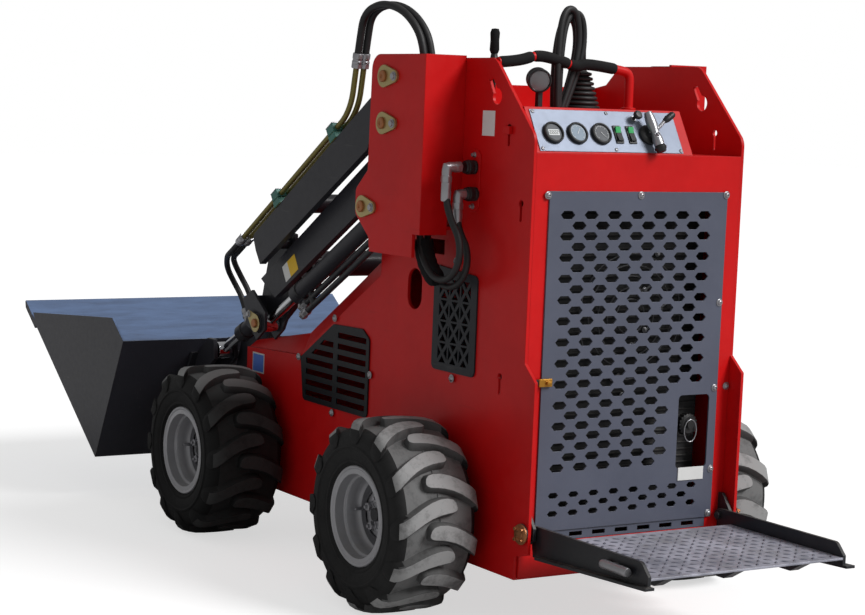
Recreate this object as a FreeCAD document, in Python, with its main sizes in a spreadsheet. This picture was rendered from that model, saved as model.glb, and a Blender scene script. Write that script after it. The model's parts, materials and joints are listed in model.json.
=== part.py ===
import FreeCAD, Part
import math
import os
import re
import Sketcher
from FreeCAD import Placement, Rotation, Vector

# Mini wheel loader: stand-on skid-steer loader with a parallel-link arm and a bucket.
# Machine axes: X forward, Y left, Z up, with the datum on the floor under the rear axle.
# Every sub-part is moved along X by PLAN_SHIFT, which puts the origin in the middle of the plan.

doc = FreeCAD.newDocument("mini_wheel_loader")

# --------------------------------------------------------------------------------------
# Driving sizes, in millimetres and degrees
# --------------------------------------------------------------------------------------

SIZES = [
    # wheels and axles
    ("wheelbase", 910, "rear axle to front axle"),
    ("tyre_radius", 225, "outside radius of the tyre"),
    ("tyre_width", 216, "section width"),
    ("tyre_clearance", 24, "tyre to side plate"),
    ("rim_radius", 114, "outside of the rim flange"),
    ("rim_seat_radius", 101, "bead seat"),
    ("rim_depth", 62, "dish, from the flange to the disc"),
    ("rim_wall", 4, ""),
    ("rim_inset", 13, "rim lip inside the tyre's side"),
    ("hub_radius", 42, "wheel motor flange"),
    ("motor_radius", 62, "wheel motor body"),
    ("motor_bore", 16, "bore of the rim disc round the motor shaft"),
    # chassis side plates
    ("body_half", 295, "outer face of the side plates"),
    ("plate", 8, "side and tower plates"),
    ("sheet", 5, "hood, belly, console and panels"),
    ("rear_x", -311, "rear face"),
    ("ear_x", -352, "rear edge of the lower ear"),
    ("ear_low_z", 190, ""),
    ("ear_high_z", 571, ""),
    ("ear_slope", 36, "rise of the slope above the ear"),
    ("belly_z", 125, "underside of the chassis"),
    ("crest_z", 1271, "top edge of the side plates"),
    ("slant_top_x", -150, "top of the slanted rear edge"),
    ("slant_foot_z", 1103, "foot of the slanted rear edge"),
    ("crest_front_x", 153, "front end of the top edge"),
    ("lift_hole_x", -164, "teardrop lifting hole near the top of the side plates"),
    ("lift_hole_z", 1186, ""),
    ("lift_hole_radius", 18, ""),
    ("access_x", 145, "upright access slot"),
    ("access_low_z", 680, ""),
    ("access_high_z", 777, ""),
    ("access_radius", 31, ""),
    ("keyhole_radius", 8, ""),
    ("keyhole_fall", 40, "length of a keyhole below its eye"),
    ("brow_x", 250, "front top corner of the tower"),
    ("brow_z", 1217, ""),
    ("tower_foot_x", 300, "tower front where it meets the hood"),
    ("hood_high_z", 804, ""),
    ("knee_x", 690, "where the hood flattens towards the nose"),
    ("knee_z", 558, ""),
    ("nose_x", 985, "front of the chassis"),
    ("nose_z", 505, "front end of the hood"),
    ("bevel_drop", 57, "fall of the hood's bevelled sides"),
    ("bevel_run", 22, "width of the bevel, from the side plate inwards"),
    ("nose_low_z", 330, "foot of the front wall"),
    ("chin_x", 800, "front end of the belly"),
    # outer tower plates
    ("tower_clearance", 7, "upper link to tower plate"),
    ("tower_front_x", 195, ""),
    ("tower_rear_x", -36, "rear face of the tower box"),
    ("tower_top_z", 1276, ""),
    ("tower_low_z", 815, ""),
    ("tower_flange_z", 869, "bottom of the rear flange"),
    ("tower_notch", 36, "width of the notch in the rear flange"),
    ("tower_notch_z", 937, "top of that notch"),
    ("tower_corner", 36, "corner radius"),
    # arm linkage
    ("post_x", 135, "the two upper tower pins"),
    ("upper_pin_z", 1225, ""),
    ("lower_pin_z", 1117, ""),
    ("ram_pin_x", 215, "lift cylinder pin on the tower"),
    ("ram_pin_z", 919, ""),
    ("link_reach", 605, "tower pin to knuckle pin, along X at rest"),
    ("link_drop", 435, "tower pin to knuckle pin, down at rest"),
    ("link_plate", 18, "thickness of the link plates"),
    ("link_clearance", 5, "upper link to knuckle"),
    ("blind_wall", 6, "link metal left over the front pins"),
    ("link_eye", 38, "radius of the link eyes"),
    ("pin_radius", 15, "all linkage pins"),
    ("pin_gap", 0.3, "running clearance on the linkage pins"),
    ("cross_tube_radius", 24, "tube between the upper links"),
    ("flag_radius", 26, "retaining plates of the pins, round the pin"),
    ("flag_tip", 14, "their bolt end"),
    ("flag_reach", 45, "pin to bolt"),
    ("flag_plate", 6, ""),
    # knuckle
    ("knuckle_clearance", 8, "inner knuckle plate to side plate"),
    ("knuckle_plate", 8, ""),
    ("knuckle_inner_gap", 19, "inner knuckle plate to lower link"),
    ("knuckle_outer_gap", 18, "lower link to the outside of the outer plate"),
    ("rod_pin_x", 795, "lift rod pin on the knuckle"),
    ("rod_pin_z", 575, ""),
    ("torque_x", 790, "torque tube of the knuckle"),
    ("torque_z", 730, ""),
    ("torque_radius", 34, ""),
    # hitch, tilt cylinders and bucket
    ("hinge_x", 1215, "bucket hinge"),
    ("hinge_z", 215, ""),
    ("drop_plate", 24, "thickness of the drop arms"),
    ("drop_gap", 12, "drop arm to tilt cylinder ear"),
    ("tilt_ear", 5, "outer ear of the tilt cylinder"),
    ("tilt_base_x", 720, "tilt cylinder pin on the knuckle"),
    ("tilt_base_z", 690, ""),
    ("tilt_eye_x", 1180, "tilt rod pin on the hitch"),
    ("tilt_eye_z", 452, ""),
    ("hitch_margin", 20, "hitch plate beyond its outer lugs"),
    ("hitch_plate", 12, ""),
    ("lug_plate", 12, "hitch lugs"),
    ("bucket_half", 550, "half width of the bucket"),
    ("bucket_plate", 6, ""),
    ("lip_x", 1990, "cutting edge"),
    ("lip_z", 512, ""),
    ("heel_x", 1425, "corner of back and floor"),
    ("heel_z", 120, ""),
    ("back_x", 1247, "top of the back"),
    ("back_z", 478, ""),
    ("cheek_x", 1326, "top corner of the bucket's side"),
    ("cheek_z", 535, ""),
    ("edge_length", 110, "cutting edge plate"),
    ("edge_plate", 12, ""),
    # side covers
    ("vent_rear_x", -122, ""),
    ("vent_front_x", 56, ""),
    ("vent_low_z", 551, ""),
    ("vent_high_z", 795, ""),
    ("louvre_rear_x", 338, ""),
    ("louvre_front_x", 680, ""),
    ("louvre_low_z", 388, ""),
    ("louvre_high_z", 606, ""),
    ("louvre_pitch", 28, ""),
    ("louvre_slot", 14, "height of a slot"),
    ("louvre_bar_x", 490, "rear edge of the bar between the columns"),
    ("louvre_bar", 22, ""),
    ("cover_plate", 4, "vent and louvre covers"),
    ("cover_frame", 22, "closed margin of the vent covers"),
    ("cover_lap", 14, "how far the covers lap over their windows"),
    ("lattice_rib", 6, "half rib at the lattice corners"),
    # hydraulic cylinders
    ("barrel_radius", 22, ""),
    ("barrel_gap", 4, "barrel to each lug"),
    ("rod_radius", 13, ""),
    ("lift_barrel_length", 500, "base pin to gland"),
    ("tilt_barrel_length", 385, ""),
    ("rod_start", 54, "inner end of a rod, from the base pin"),
    ("gland_length", 26, ""),
    ("gland_lip", 3, "gland beyond the barrel"),
    ("rod_gap", 0.3, "rod in its barrel"),
    # hydraulic lines
    ("hose_radius", 8, "hoses to the couplers and the tilt cylinders"),
    ("arm_hose_radius", 9, "hoses from the tower to the arm"),
    ("hard_line_radius", 7, "steel lines on the upper link"),
    ("line_pitch", 21, "between the two lines of a pair"),
    ("line_stand", 28, "steel line above the top edge of the link"),
    ("ferrule_radius", 12, ""),
    ("eye_radius", 24, "cylinder eyes"),
    ("eye_width", 40, ""),
    # rear panel and console
    ("grille_margin", 45, "side plate's outer face to grille"),
    ("grille_low_z", 231, ""),
    ("grille_high_z", 985, ""),
    ("grille_plate", 4, ""),
    ("hex_pitch", 64, "across"),
    ("hex_rise", 23.4, "between rows"),
    ("hex_half", 19.5, "half length of a hexagonal hole"),
    ("hex_flat", 11, "half length of its flats"),
    ("hex_height", 9, "half its height"),
    ("hex_top_z", 933, "top row"),
    ("hex_left_y", 199, "leftmost hole"),
    ("foot_pitch", 56, "smaller holes under the blank band"),
    ("foot_rise", 20.5, ""),
    ("foot_scale", 0.72, "their size against the larger ones"),
    ("foot_top_z", 310, ""),
    ("foot_left_y", 205, ""),
    ("strip_low_z", 207, "slotted strip below the grille"),
    ("console_low_z", 1067, "foot of the sloped console"),
    ("console_x", -255, "top edge of the sloped console"),
    ("console_z", 1166, "console top"),
    ("console_right_y", -145, "right end of the console, beside the open tray"),
    # platform
    ("step_front_x", -372, ""),
    ("step_rear_x", -735, ""),
    ("step_rail", 8, "side rails of the platform"),
    ("step_rail_gap", 17, "rail to side plate"),
    ("step_rise", 30, "rails above the tread"),
    ("step_flange", 16, "foot of the rails, outwards"),
    ("step_rib", 24, "depth of the ribs under the tread"),
    ("step_z", 222, "top of the tread plate"),
    ("step_plate", 5, ""),
    ("step_pin_x", -331, "platform pivot"),
    ("step_pin_z", 236, ""),
    ("step_arm_height", 40, "rails below the tread, at the pivot"),
    ("step_arm_tail", 12, "how far the rails pass the tread plate"),
    ("step_eye_radius", 15, "platform hinge eyes"),
    ("step_pin_radius", 8, ""),
]

# Sizes that follow from the others, so that the pieces go on fitting each other
FITS = {
    "wheel_mid_y": "body_half + tyre_clearance + tyre_width / 2",
    "body_in": "body_half - plate",
    "knuckle_in": "body_half + knuckle_clearance",
    "lower_link_in": "knuckle_in + knuckle_plate + knuckle_inner_gap",
    "knuckle_out": "lower_link_in + link_plate + knuckle_outer_gap",
    "upper_link_in": "knuckle_out + link_clearance",
    "upper_link_out": "upper_link_in + link_plate",
    "tower_out": "upper_link_out + tower_clearance + plate",
    "lift_y": "(knuckle_in + knuckle_out) / 2",
    "lug_gap": "2 * (barrel_radius + barrel_gap)",
    "tilt_y": "knuckle_in - tilt_ear - lug_gap / 2",
    "drop_y": "tilt_y - lug_gap / 2 - lug_plate - drop_gap - drop_plate / 2",
    "hitch_half": "tilt_y + lug_gap / 2 + lug_plate + hitch_margin",
    "grille_half": "body_half - grille_margin",
    "step_half": "body_in - step_rail_gap - step_rail",
    "crease_high_z": "hood_high_z - bevel_drop",
    "crease_knee_z": "knee_z - bevel_drop",
    "crease_nose_z": "nose_z - bevel_drop * 0.3",
    "flag_lean": "(flag_radius - flag_tip) / flag_reach",
}

sheet = doc.addObject("Spreadsheet::Sheet", "sizes")
for row, (alias, number, note) in enumerate(SIZES, start=1):
    sheet.set("A%d" % row, alias)
    sheet.set("B%d" % row, str(number))
    sheet.set("C%d" % row, note)
    sheet.setAlias("B%d" % row, alias)
doc.recompute()
ALIASES = {alias for alias, _, _ in SIZES}


def bound(text):
    """The expression with each size name pointing at the sheet."""
    text = str(text)
    while any(name in FITS for name in re.findall(r"[a-z][a-z_]*", text)):
        text = re.sub(r"[a-z][a-z_]*", lambda m: "(%s)" % FITS[m[0]] if m[0] in FITS else m[0], text)
    return re.sub(r"[a-z][a-z_]*", lambda m: "sizes." + m[0] if m[0] in ALIASES else m[0], text)


def value(text):
    """The expression's number now."""
    return float(sheet.evalExpression(bound(text)))


PLAN_SHIFT = bound("-(lip_x + step_rear_x - step_arm_tail) / 2")

# --------------------------------------------------------------------------------------
# Sketch and feature helpers
# --------------------------------------------------------------------------------------


def new_body(label, x="0", y="0", z="0", turn=0):
    """A body at a place on the machine, turned about the vertical."""
    body = doc.addObject("PartDesign::Body", label)
    body.Label = label
    body.AllowCompound = True
    body.Placement = Placement(Vector(), Rotation(Vector(0, 0, 1), turn))
    body.setExpression("Placement.Base.x", PLAN_SHIFT + " + " + bound(x))
    body.setExpression("Placement.Base.y", bound(y))
    body.setExpression("Placement.Base.z", bound(z))
    return body


def new_sketch(body, plane, offset):
    sketch = body.newObject("Sketcher::SketchObject", "sketch")
    support = [item for item in body.Origin.OriginFeatures if item.Role == plane][0]
    sketch.AttachmentSupport = [(support, "")]
    sketch.MapMode = "FlatFace"
    sketch.setExpression("AttachmentOffset.Base.z", bound(offset))
    return sketch


def pin_down(sketch, geometry, point, place):
    """Ties one point of the sketch to its two coordinates."""
    for kind, text in zip(("DistanceX", "DistanceY"), place):
        at = sketch.addConstraint(Sketcher.Constraint(kind, -1, 1, geometry, point, value(text)))
        sketch.setExpression("Constraints[%d]" % at, bound(text))


def draw_outline(sketch, corners):
    first = sketch.GeometryCount
    spots = [Vector(value(c[0]), value(c[1]), 0) for c in corners]
    count = len(spots)
    for index in range(count):
        sketch.addGeometry(Part.LineSegment(spots[index], spots[(index + 1) % count]), False)
    for index in range(count):
        follower = first + (index + 1) % count
        sketch.addConstraint(Sketcher.Constraint("Coincident", first + index, 2, follower, 1))
        pin_down(sketch, first + index, 1, corners[index][:2])


def draw_circle(sketch, x, y, radius):
    centre = Vector(value(x), value(y), 0)
    at = sketch.addGeometry(Part.Circle(centre, Vector(0, 0, 1), value(radius)), False)
    pin_down(sketch, at, 3, (x, y))
    number = sketch.addConstraint(Sketcher.Constraint("Radius", at, value(radius)))
    sketch.setExpression("Constraints[%d]" % number, bound(radius))


# How far along the plane's normal a coordinate lies, and the direction of that normal
NORMALS = {"XZ_Plane": -1, "YZ_Plane": 1, "XY_Plane": 1}


def add_pad(body, plane, low, high, draw):
    """Material between two coordinates along the plane's axis."""
    start = high if NORMALS[plane] < 0 else low
    sketch = new_sketch(body, plane, "%d * (%s)" % (NORMALS[plane], start))
    draw(sketch)
    pad = body.newObject("PartDesign::Pad", "pad")
    pad.Profile = sketch
    pad.setExpression("Length", bound("(%s) - (%s)" % (high, low)))
    return pad


def add_cut(body, plane, low, high, draw):
    """A pocket between two coordinates along the plane's axis."""
    start = high if NORMALS[plane] < 0 else low
    sketch = new_sketch(body, plane, "%d * (%s)" % (NORMALS[plane], start))
    draw(sketch)
    pocket = body.newObject("PartDesign::Pocket", "pocket")
    pocket.Profile = sketch
    pocket.Reversed = True
    pocket.setExpression("Length", bound("(%s) - (%s)" % (high, low)))
    return pocket


def outline(*corners):
    return lambda sketch: draw_outline(sketch, corners)


def circle(x, y, radius):
    return lambda sketch: draw_circle(sketch, x, y, radius)


def sides(side, low, high):
    """The same band on the left (1) or mirrored on the right (-1)."""
    if side > 0:
        return low, high
    return "-(%s)" % high, "-(%s)" % low


IN_PLANE = {"XZ_Plane": ("x", "z", "y"), "YZ_Plane": ("y", "z", "x"), "XY_Plane": ("x", "y", "z")}


def round_corners(body, plane, radius, *places):
    """Fillets the edges that cross the plane at the given places."""
    across, up, along = IN_PLANE[plane]
    base = body.Tip
    doc.recompute([base])
    names = []
    for number, edge in enumerate(base.Shape.Edges, start=1):
        if len(edge.Vertexes) != 2:
            continue
        one, two = edge.Vertexes[0].Point, edge.Vertexes[1].Point
        if abs(getattr(one - two, along)) < 0.5 or (one - two).Length > abs(getattr(one - two, along)) + 0.01:
            continue
        for place in places:
            if (abs(getattr(one, across) - value(place[0])) < 0.05
                    and abs(getattr(one, up) - value(place[1])) < 0.05):
                names.append("Edge%d" % number)
    fillet = body.newObject("PartDesign::Fillet", "fillet")
    fillet.Base = (base, names)
    fillet.setExpression("Radius", bound(radius))
    return fillet


def add_loft(body, plane, *sections):
    """Material through several outlines, each given as (coordinate along the plane's axis, outline)."""
    sketches = []
    for place, draw in sections:
        sketch = new_sketch(body, plane, "%d * (%s)" % (NORMALS[plane], place))
        draw(sketch)
        sketches.append(sketch)
    loft = body.newObject("PartDesign::AdditiveLoft", "loft")
    loft.Profile = sketches[0]
    loft.Sections = sketches[1:]
    loft.Ruled = True
    return loft


def repeat(body, feature, *runs):
    """Copies a pocket along its sketch's axes; each run is (axis, step, count)."""
    sketch = feature.Profile[0]
    moves = []
    for axis, step, count in runs:
        move = body.newObject("PartDesign::LinearPattern", "run")
        move.Direction = (sketch, [axis])
        move.Reversed = value(step) < 0
        move.setExpression("Length", bound("abs(%s) * %d" % (step, count - 1)))
        move.Occurrences = count
        moves.append(move)
    copies = body.newObject("PartDesign::MultiTransform", "copies")
    copies.Originals = [feature]
    copies.Transformations = moves
    copies.Refine = False
    body.Tip = copies
    return copies


def add_flag(body, band, x, z, way):
    """The retaining plate of a pin: round the pin, tapering to its bolt, ahead (1) or behind (-1)."""
    root = "sqrt(1 - (flag_lean) ^ 2)"
    spots = [("%s + %d * (%s + %s * flag_lean)" % (x, way, start, radius),
              "%s + %d * %s * %s" % (z, up, radius, root))
             for start, radius, up in (("0", "flag_radius", 1), ("flag_reach", "flag_tip", 1),
                                       ("flag_reach", "flag_tip", -1), ("0", "flag_radius", -1))]
    add_pad(body, "XZ_Plane", *band, outline(*spots))
    add_pad(body, "XZ_Plane", *band, circle(x, z, "flag_radius"))
    add_pad(body, "XZ_Plane", *band, circle("%s + %d * flag_reach" % (x, way), z, "flag_tip"))


def cut_slot(body, band, x, low, high, radius):
    """An upright slot with round ends."""
    near, far = "%s - %s" % (x, radius), "%s + %s" % (x, radius)
    foot, head = "%s + %s" % (low, radius), "%s - %s" % (high, radius)
    add_cut(body, "XZ_Plane", *band, outline((near, foot), (far, foot), (far, head), (near, head)))
    for z in (foot, head):
        add_cut(body, "XZ_Plane", *band, circle(x, z, radius))


def add_revolution(body, draw):
    """Turns a profile in the YZ plane about the body's own Y axis."""
    sketch = new_sketch(body, "YZ_Plane", "0")
    draw(sketch)
    turned = body.newObject("PartDesign::Revolution", "revolution")
    turned.Profile = sketch
    turned.ReferenceAxis = (sketch, ["H_Axis"])
    turned.Angle = 360
    return turned


ARC_SHARE = 0.45


def tube_path(points):
    """Straight runs joined by tangent arcs, each as large as its two runs allow."""
    edges = []
    last = points[0]
    radii = []
    for before, corner, after in zip(points, points[1:], points[2:]):
        back, on = (before - corner), (after - corner)
        reach = ARC_SHARE * min(back.Length, on.Length)
        turn = math.pi - back.getAngle(on)
        radius = reach / math.tan(turn / 2)
        radii.append(radius)
        back.normalize()
        on.normalize()
        enter, leave = corner + back * reach, corner + on * reach
        bisector = back + on
        bisector.normalize()
        middle = corner + bisector * (radius / math.cos(turn / 2) - radius)
        if (enter - last).Length > 1e-6:
            edges.append(Part.LineSegment(last, enter).toShape())
        edges.append(Part.Arc(enter, middle, leave).toShape())
        last = leave
    edges.append(Part.LineSegment(last, points[-1]).toShape())
    return Part.Wire(edges), radii


def tube(points, radius):
    """A round bar along the path, its volume compared with section times length."""
    path, radii = tube_path(points)
    start = points[0]
    ring = Part.Wire([Part.Circle(start, points[1] - start, radius).toShape()])
    solid = path.makePipeShell([ring], True, False)
    wanted = math.pi * radius ** 2 * path.Length
    if abs(solid.Volume / wanted - 1) > 0.01:
        raise ValueError("tube volume %.0f is not %.0f" % (solid.Volume, wanted))
    return solid, path.Length, radii


def add_shape(label, shape):
    """A sub-part whose shape comes from Part's own functions."""
    item = doc.addObject("Part::Feature", label)
    item.Label = label
    item.Shape = shape
    item.setExpression("Placement.Base.x", PLAN_SHIFT)
    return item


NODES = []


def node(item):
    NODES.append(item)
    return item


LEFT_RIGHT = (("left", 1), ("right", -1))

# --------------------------------------------------------------------------------------
# Wheels: tyre, dished rim and wheel motor
# --------------------------------------------------------------------------------------


def wheel(name, side, x):
    """A tyre and its rim; the profiles are (distance outwards along the axle, radius)."""
    half = "tyre_width / 2"
    place = {"x": x, "y": "%d * wheel_mid_y" % side, "z": "tyre_radius", "turn": 0 if side > 0 else 180}
    tyre = node(new_body(name + "_tyre", **place))
    bead = "(%s - rim_inset - rim_wall - 0.3)" % half
    add_revolution(tyre, outline(
        ("-" + bead, "rim_seat_radius"),
        (bead, "rim_seat_radius"),
        (bead, "rim_radius + 0.3"),
        ("%s - 10" % half, "rim_radius + 6"),
        (half, "rim_radius + 42"),
        ("%s - 6" % half, "tyre_radius - 22"),
        ("%s - 22" % half, "tyre_radius - 3"),
        ("0", "tyre_radius"),
        ("-%s + 22" % half, "tyre_radius - 3"),
        ("-%s + 6" % half, "tyre_radius - 22"),
        ("-%s" % half, "rim_radius + 42"),
        ("-%s + 10" % half, "rim_radius + 6"),
        ("-" + bead, "rim_radius + 0.3")))
    rim = node(new_body(name + "_rim", **place))
    lip = "(%s - rim_inset)" % half
    disc = "(%s - rim_depth)" % lip
    seat = "rim_seat_radius - 0.3"
    inner = "rim_seat_radius - rim_wall"
    add_revolution(rim, outline(
        (lip, inner),
        (lip, "rim_radius"),
        ("%s - rim_wall" % lip, "rim_radius"),
        ("%s - rim_wall" % lip, seat),
        ("-%s + rim_wall" % lip, seat),
        ("-%s + rim_wall" % lip, "rim_radius"),
        ("-%s" % lip, "rim_radius"),
        ("-%s" % lip, inner),
        ("%s - 18" % disc, inner),
        ("%s - 8" % disc, "hub_radius + 8"),
        ("%s - 24" % disc, "hub_radius + 8"),
        ("%s - 24" % disc, "motor_bore"),
        (disc, "motor_bore"),
        (disc, "hub_radius + 12"),
        ("%s - 8" % disc, "%s - 14" % inner),
        ("%s + 6" % disc, "%s - 4" % inner)))
    return tyre, rim


for place, axle in (("front", "wheelbase"), ("rear", "0")):
    for hand, side in LEFT_RIGHT:
        wheel("%s_%s" % (place, hand), side, axle)

motors = node(new_body("wheel_motors"))
for axle in ("0", "wheelbase"):
    for hand, side in LEFT_RIGHT:
        spindle = "wheel_mid_y + tyre_width / 2 - rim_depth + 2"
        for low, high, radius in (("body_half", "body_half + 16", "motor_radius + 16"),
                                  ("body_half + 16", "wheel_mid_y", "motor_radius"),
                                  ("wheel_mid_y", spindle, "motor_bore - pin_gap")):
            add_pad(motors, "XZ_Plane", *sides(side, low, high), circle(axle, "tyre_radius", radius))

# --------------------------------------------------------------------------------------
# Chassis: side plates, hood, belly, tower
# --------------------------------------------------------------------------------------

def side_plate(hand, side):
    body = node(new_body(hand + "_side_plate"))
    low, high = sides(side, "body_half - plate", "body_half")
    add_pad(body, "XZ_Plane", low, high, outline(
        ("rear_x + 6", "belly_z"),
        ("rear_x + 6", "ear_low_z - 12"),
        ("ear_x", "ear_low_z"),
        ("ear_x", "ear_high_z"),
        ("rear_x", "ear_high_z + ear_slope"),
        ("rear_x", "slant_foot_z"),
        ("slant_top_x", "crest_z"),
        ("crest_front_x", "crest_z"),
        ("crest_front_x + 52", "brow_z + 8"),
        ("brow_x", "brow_z"),
        ("tower_foot_x", "hood_high_z"),
        ("tower_foot_x", "crease_high_z"),
        ("knee_x", "crease_knee_z"),
        ("nose_x", "crease_nose_z"),
        ("nose_x", "nose_low_z"),
        ("chin_x", "belly_z")))
    round_corners(body, "XZ_Plane", "tower_corner", ("slant_top_x", "crest_z"), ("rear_x", "slant_foot_z"))
    # windows behind the vent and louvre covers
    add_cut(body, "XZ_Plane", low, high, outline(
        ("vent_rear_x + cover_lap", "vent_low_z + cover_lap"),
        ("vent_front_x - cover_lap", "vent_low_z + cover_lap"),
        ("vent_front_x - cover_lap", "vent_high_z - cover_lap"),
        ("vent_rear_x + cover_lap", "vent_high_z - 2 * cover_lap")))
    add_cut(body, "XZ_Plane", low, high, outline(
        ("louvre_rear_x + cover_lap * 0.8", "louvre_low_z + cover_lap * 0.8"),
        ("louvre_front_x - cover_lap", "louvre_low_z + cover_lap * 0.8"),
        ("louvre_front_x - cover_lap", "louvre_low_z + 100"),
        ("louvre_front_x - 165", "louvre_high_z - 18"),
        ("louvre_rear_x + cover_lap * 0.8", "louvre_high_z - 22")))
    # upright access slot, hanging keyholes and the mouth that the hoses leave by
    cut_slot(body, (low, high), "access_x", "access_low_z", "access_high_z", "access_radius")
    for x, z in (("-272", "955"), ("-219", "567"), ("-215", "1118")):
        add_cut(body, "XZ_Plane", low, high, circle(x, z, "keyhole_radius"))
        cut_slot(body, (low, high), x, "%s - keyhole_fall" % z, z, "keyhole_radius * 0.5")
    add_cut(body, "XZ_Plane", low, high, outline(
        ("tower_rear_x + 60", "tower_low_z + 4"), ("tower_front_x - 60", "tower_low_z + 4"),
        ("tower_front_x - 60", "tower_flange_z - 16"), ("tower_rear_x + 60", "tower_flange_z - 16")))
    add_cut(body, "XZ_Plane", low, high, circle("step_pin_x", "step_pin_z", "step_pin_radius"))
    # lifting hole, drawn out upwards along the slanted edge
    add_cut(body, "XZ_Plane", low, high, circle("lift_hole_x", "lift_hole_z", "lift_hole_radius"))
    add_cut(body, "XZ_Plane", low, high, outline(
        ("lift_hole_x - lift_hole_radius * 0.5", "lift_hole_z + lift_hole_radius * 0.25"),
        ("lift_hole_x + lift_hole_radius * 0.55", "lift_hole_z - lift_hole_radius * 0.25"),
        ("lift_hole_x + lift_hole_radius * 1.9", "lift_hole_z + lift_hole_radius * 2.0"),
        ("lift_hole_x + lift_hole_radius * 1.1", "lift_hole_z + lift_hole_radius * 2.3")))
    return body


for hand, side in LEFT_RIGHT:
    side_plate(hand, side)


def hood_section(top, crease):
    """A channel under the hood's top, with a bevel down each side to the side plates."""
    return outline(
        ("-body_in", crease), ("-(body_in - bevel_run)", top),
        ("body_in - bevel_run", top), ("body_in", crease),
        ("body_in - sheet * 1.4", crease), ("body_in - bevel_run - sheet * 0.7", "%s - sheet" % top),
        ("-(body_in - bevel_run - sheet * 0.7)", "%s - sheet" % top), ("-(body_in - sheet * 1.4)", crease))


hood = node(new_body("hood"))
add_loft(hood, "YZ_Plane",
         ("tower_foot_x", hood_section("hood_high_z", "crease_high_z")),
         ("knee_x", hood_section("knee_z", "crease_knee_z")),
         ("nose_x", hood_section("nose_z", "crease_nose_z")))
add_pad(hood, "YZ_Plane", "nose_x - sheet", "nose_x", outline(
    ("-body_in", "nose_low_z"), ("body_in", "nose_low_z"), ("body_in", "crease_nose_z"),
    ("body_in - bevel_run", "nose_z"), ("-(body_in - bevel_run)", "nose_z"), ("-body_in", "crease_nose_z")))

belly = node(new_body("belly_plate"))
add_pad(belly, "XZ_Plane", "-body_in", "body_in", outline(
    ("rear_x + 6", "belly_z"),
    ("chin_x", "belly_z"),
    ("nose_x", "nose_low_z"),
    ("nose_x - sheet * 1.5", "nose_low_z"),
    ("chin_x - sheet * 0.5", "belly_z + sheet"),
    ("rear_x + 6", "belly_z + sheet")))

front = node(new_body("tower_front_panel"))
add_pad(front, "XZ_Plane", "-body_in", "body_in", outline(
    ("brow_x - sheet", "brow_z"),
    ("brow_x", "brow_z"),
    ("tower_foot_x", "hood_high_z"),
    ("tower_foot_x", "crease_high_z"),
    ("tower_foot_x - sheet", "crease_high_z"),
    ("tower_foot_x - sheet", "hood_high_z")))


TOWER_PINS = (("post_x", "upper_pin_z"), ("post_x", "lower_pin_z"), ("ram_pin_x", "ram_pin_z"))


def tower_plate(hand, side):
    """Outer plate of the tower with its bent rear flange, welded to the side plate."""
    body = node(new_body(hand + "_tower_plate"))
    add_pad(body, "XZ_Plane", *sides(side, "tower_out - plate", "tower_out"), outline(
        ("tower_rear_x", "tower_top_z"),
        ("tower_front_x", "tower_top_z"),
        ("tower_front_x + 5", "ram_pin_z + 86"),
        ("ram_pin_x + 36", "ram_pin_z + 40"),
        ("ram_pin_x + 36", "ram_pin_z - 18"),
        ("tower_front_x - 8", "tower_low_z + 34"),
        ("tower_front_x - 14", "tower_low_z"),
        ("tower_rear_x + 30", "tower_low_z"),
        ("tower_rear_x + 30", "tower_flange_z"),
        ("tower_rear_x", "tower_flange_z")))
    round_corners(body, "XZ_Plane", "tower_corner", ("tower_front_x", "tower_top_z"))
    round_corners(body, "XZ_Plane", "tower_corner / 2", ("ram_pin_x + 36", "ram_pin_z + 40"),
                  ("ram_pin_x + 36", "ram_pin_z - 18"))
    way = "" if side > 0 else "-"
    add_pad(body, "YZ_Plane", "tower_rear_x", "tower_rear_x + plate", outline(
        (way + "(body_half + tower_notch)", "tower_flange_z"),
        (way + "tower_out", "tower_flange_z"),
        (way + "tower_out", "tower_top_z"),
        (way + "body_half", "tower_top_z"),
        (way + "body_half", "tower_notch_z"),
        (way + "(body_half + tower_notch)", "tower_notch_z")))
    for x, z in TOWER_PINS:
        add_cut(body, "XZ_Plane", *sides(side, "tower_out - plate", "tower_out"), circle(x, z, "pin_radius"))
    return body


for hand, side in LEFT_RIGHT:
    tower_plate(hand, side)

pins = node(new_body("tower_pins"))
for hand, side in LEFT_RIGHT:
    for x, z in TOWER_PINS:
        add_pad(pins, "XZ_Plane", *sides(side, "body_half", "tower_out + flag_plate"),
                circle(x, z, "pin_radius"))
        add_flag(pins, sides(side, "tower_out", "tower_out + flag_plate"), x, z, -1)

engine = node(new_body("engine_block"))
add_pad(engine, "XY_Plane", "300", "700", outline(
    ("-200", "-200"), ("180", "-200"), ("180", "200"), ("-200", "200")))
add_pad(engine, "XY_Plane", "belly_z + sheet", "300", outline(
    ("-160", "-160"), ("140", "-160"), ("140", "160"), ("-160", "160")))


# --------------------------------------------------------------------------------------
# Arm: parallel links, knuckle, lift cylinders
# --------------------------------------------------------------------------------------

UPPER_PIN = ("post_x", "upper_pin_z")
LOWER_PIN = ("post_x", "lower_pin_z")
RAM_PIN = ("ram_pin_x", "ram_pin_z")
UPPER_FRONT = ("post_x + link_reach", "upper_pin_z - link_drop")
LOWER_FRONT = ("post_x + link_reach", "lower_pin_z - link_drop")
ROD_PIN = ("rod_pin_x", "rod_pin_z")
BORE = "pin_radius + pin_gap"


def bored(body, plane, low, high, *places):
    for x, z in places:
        add_cut(body, plane, low, high, circle(x, z, BORE))


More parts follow.
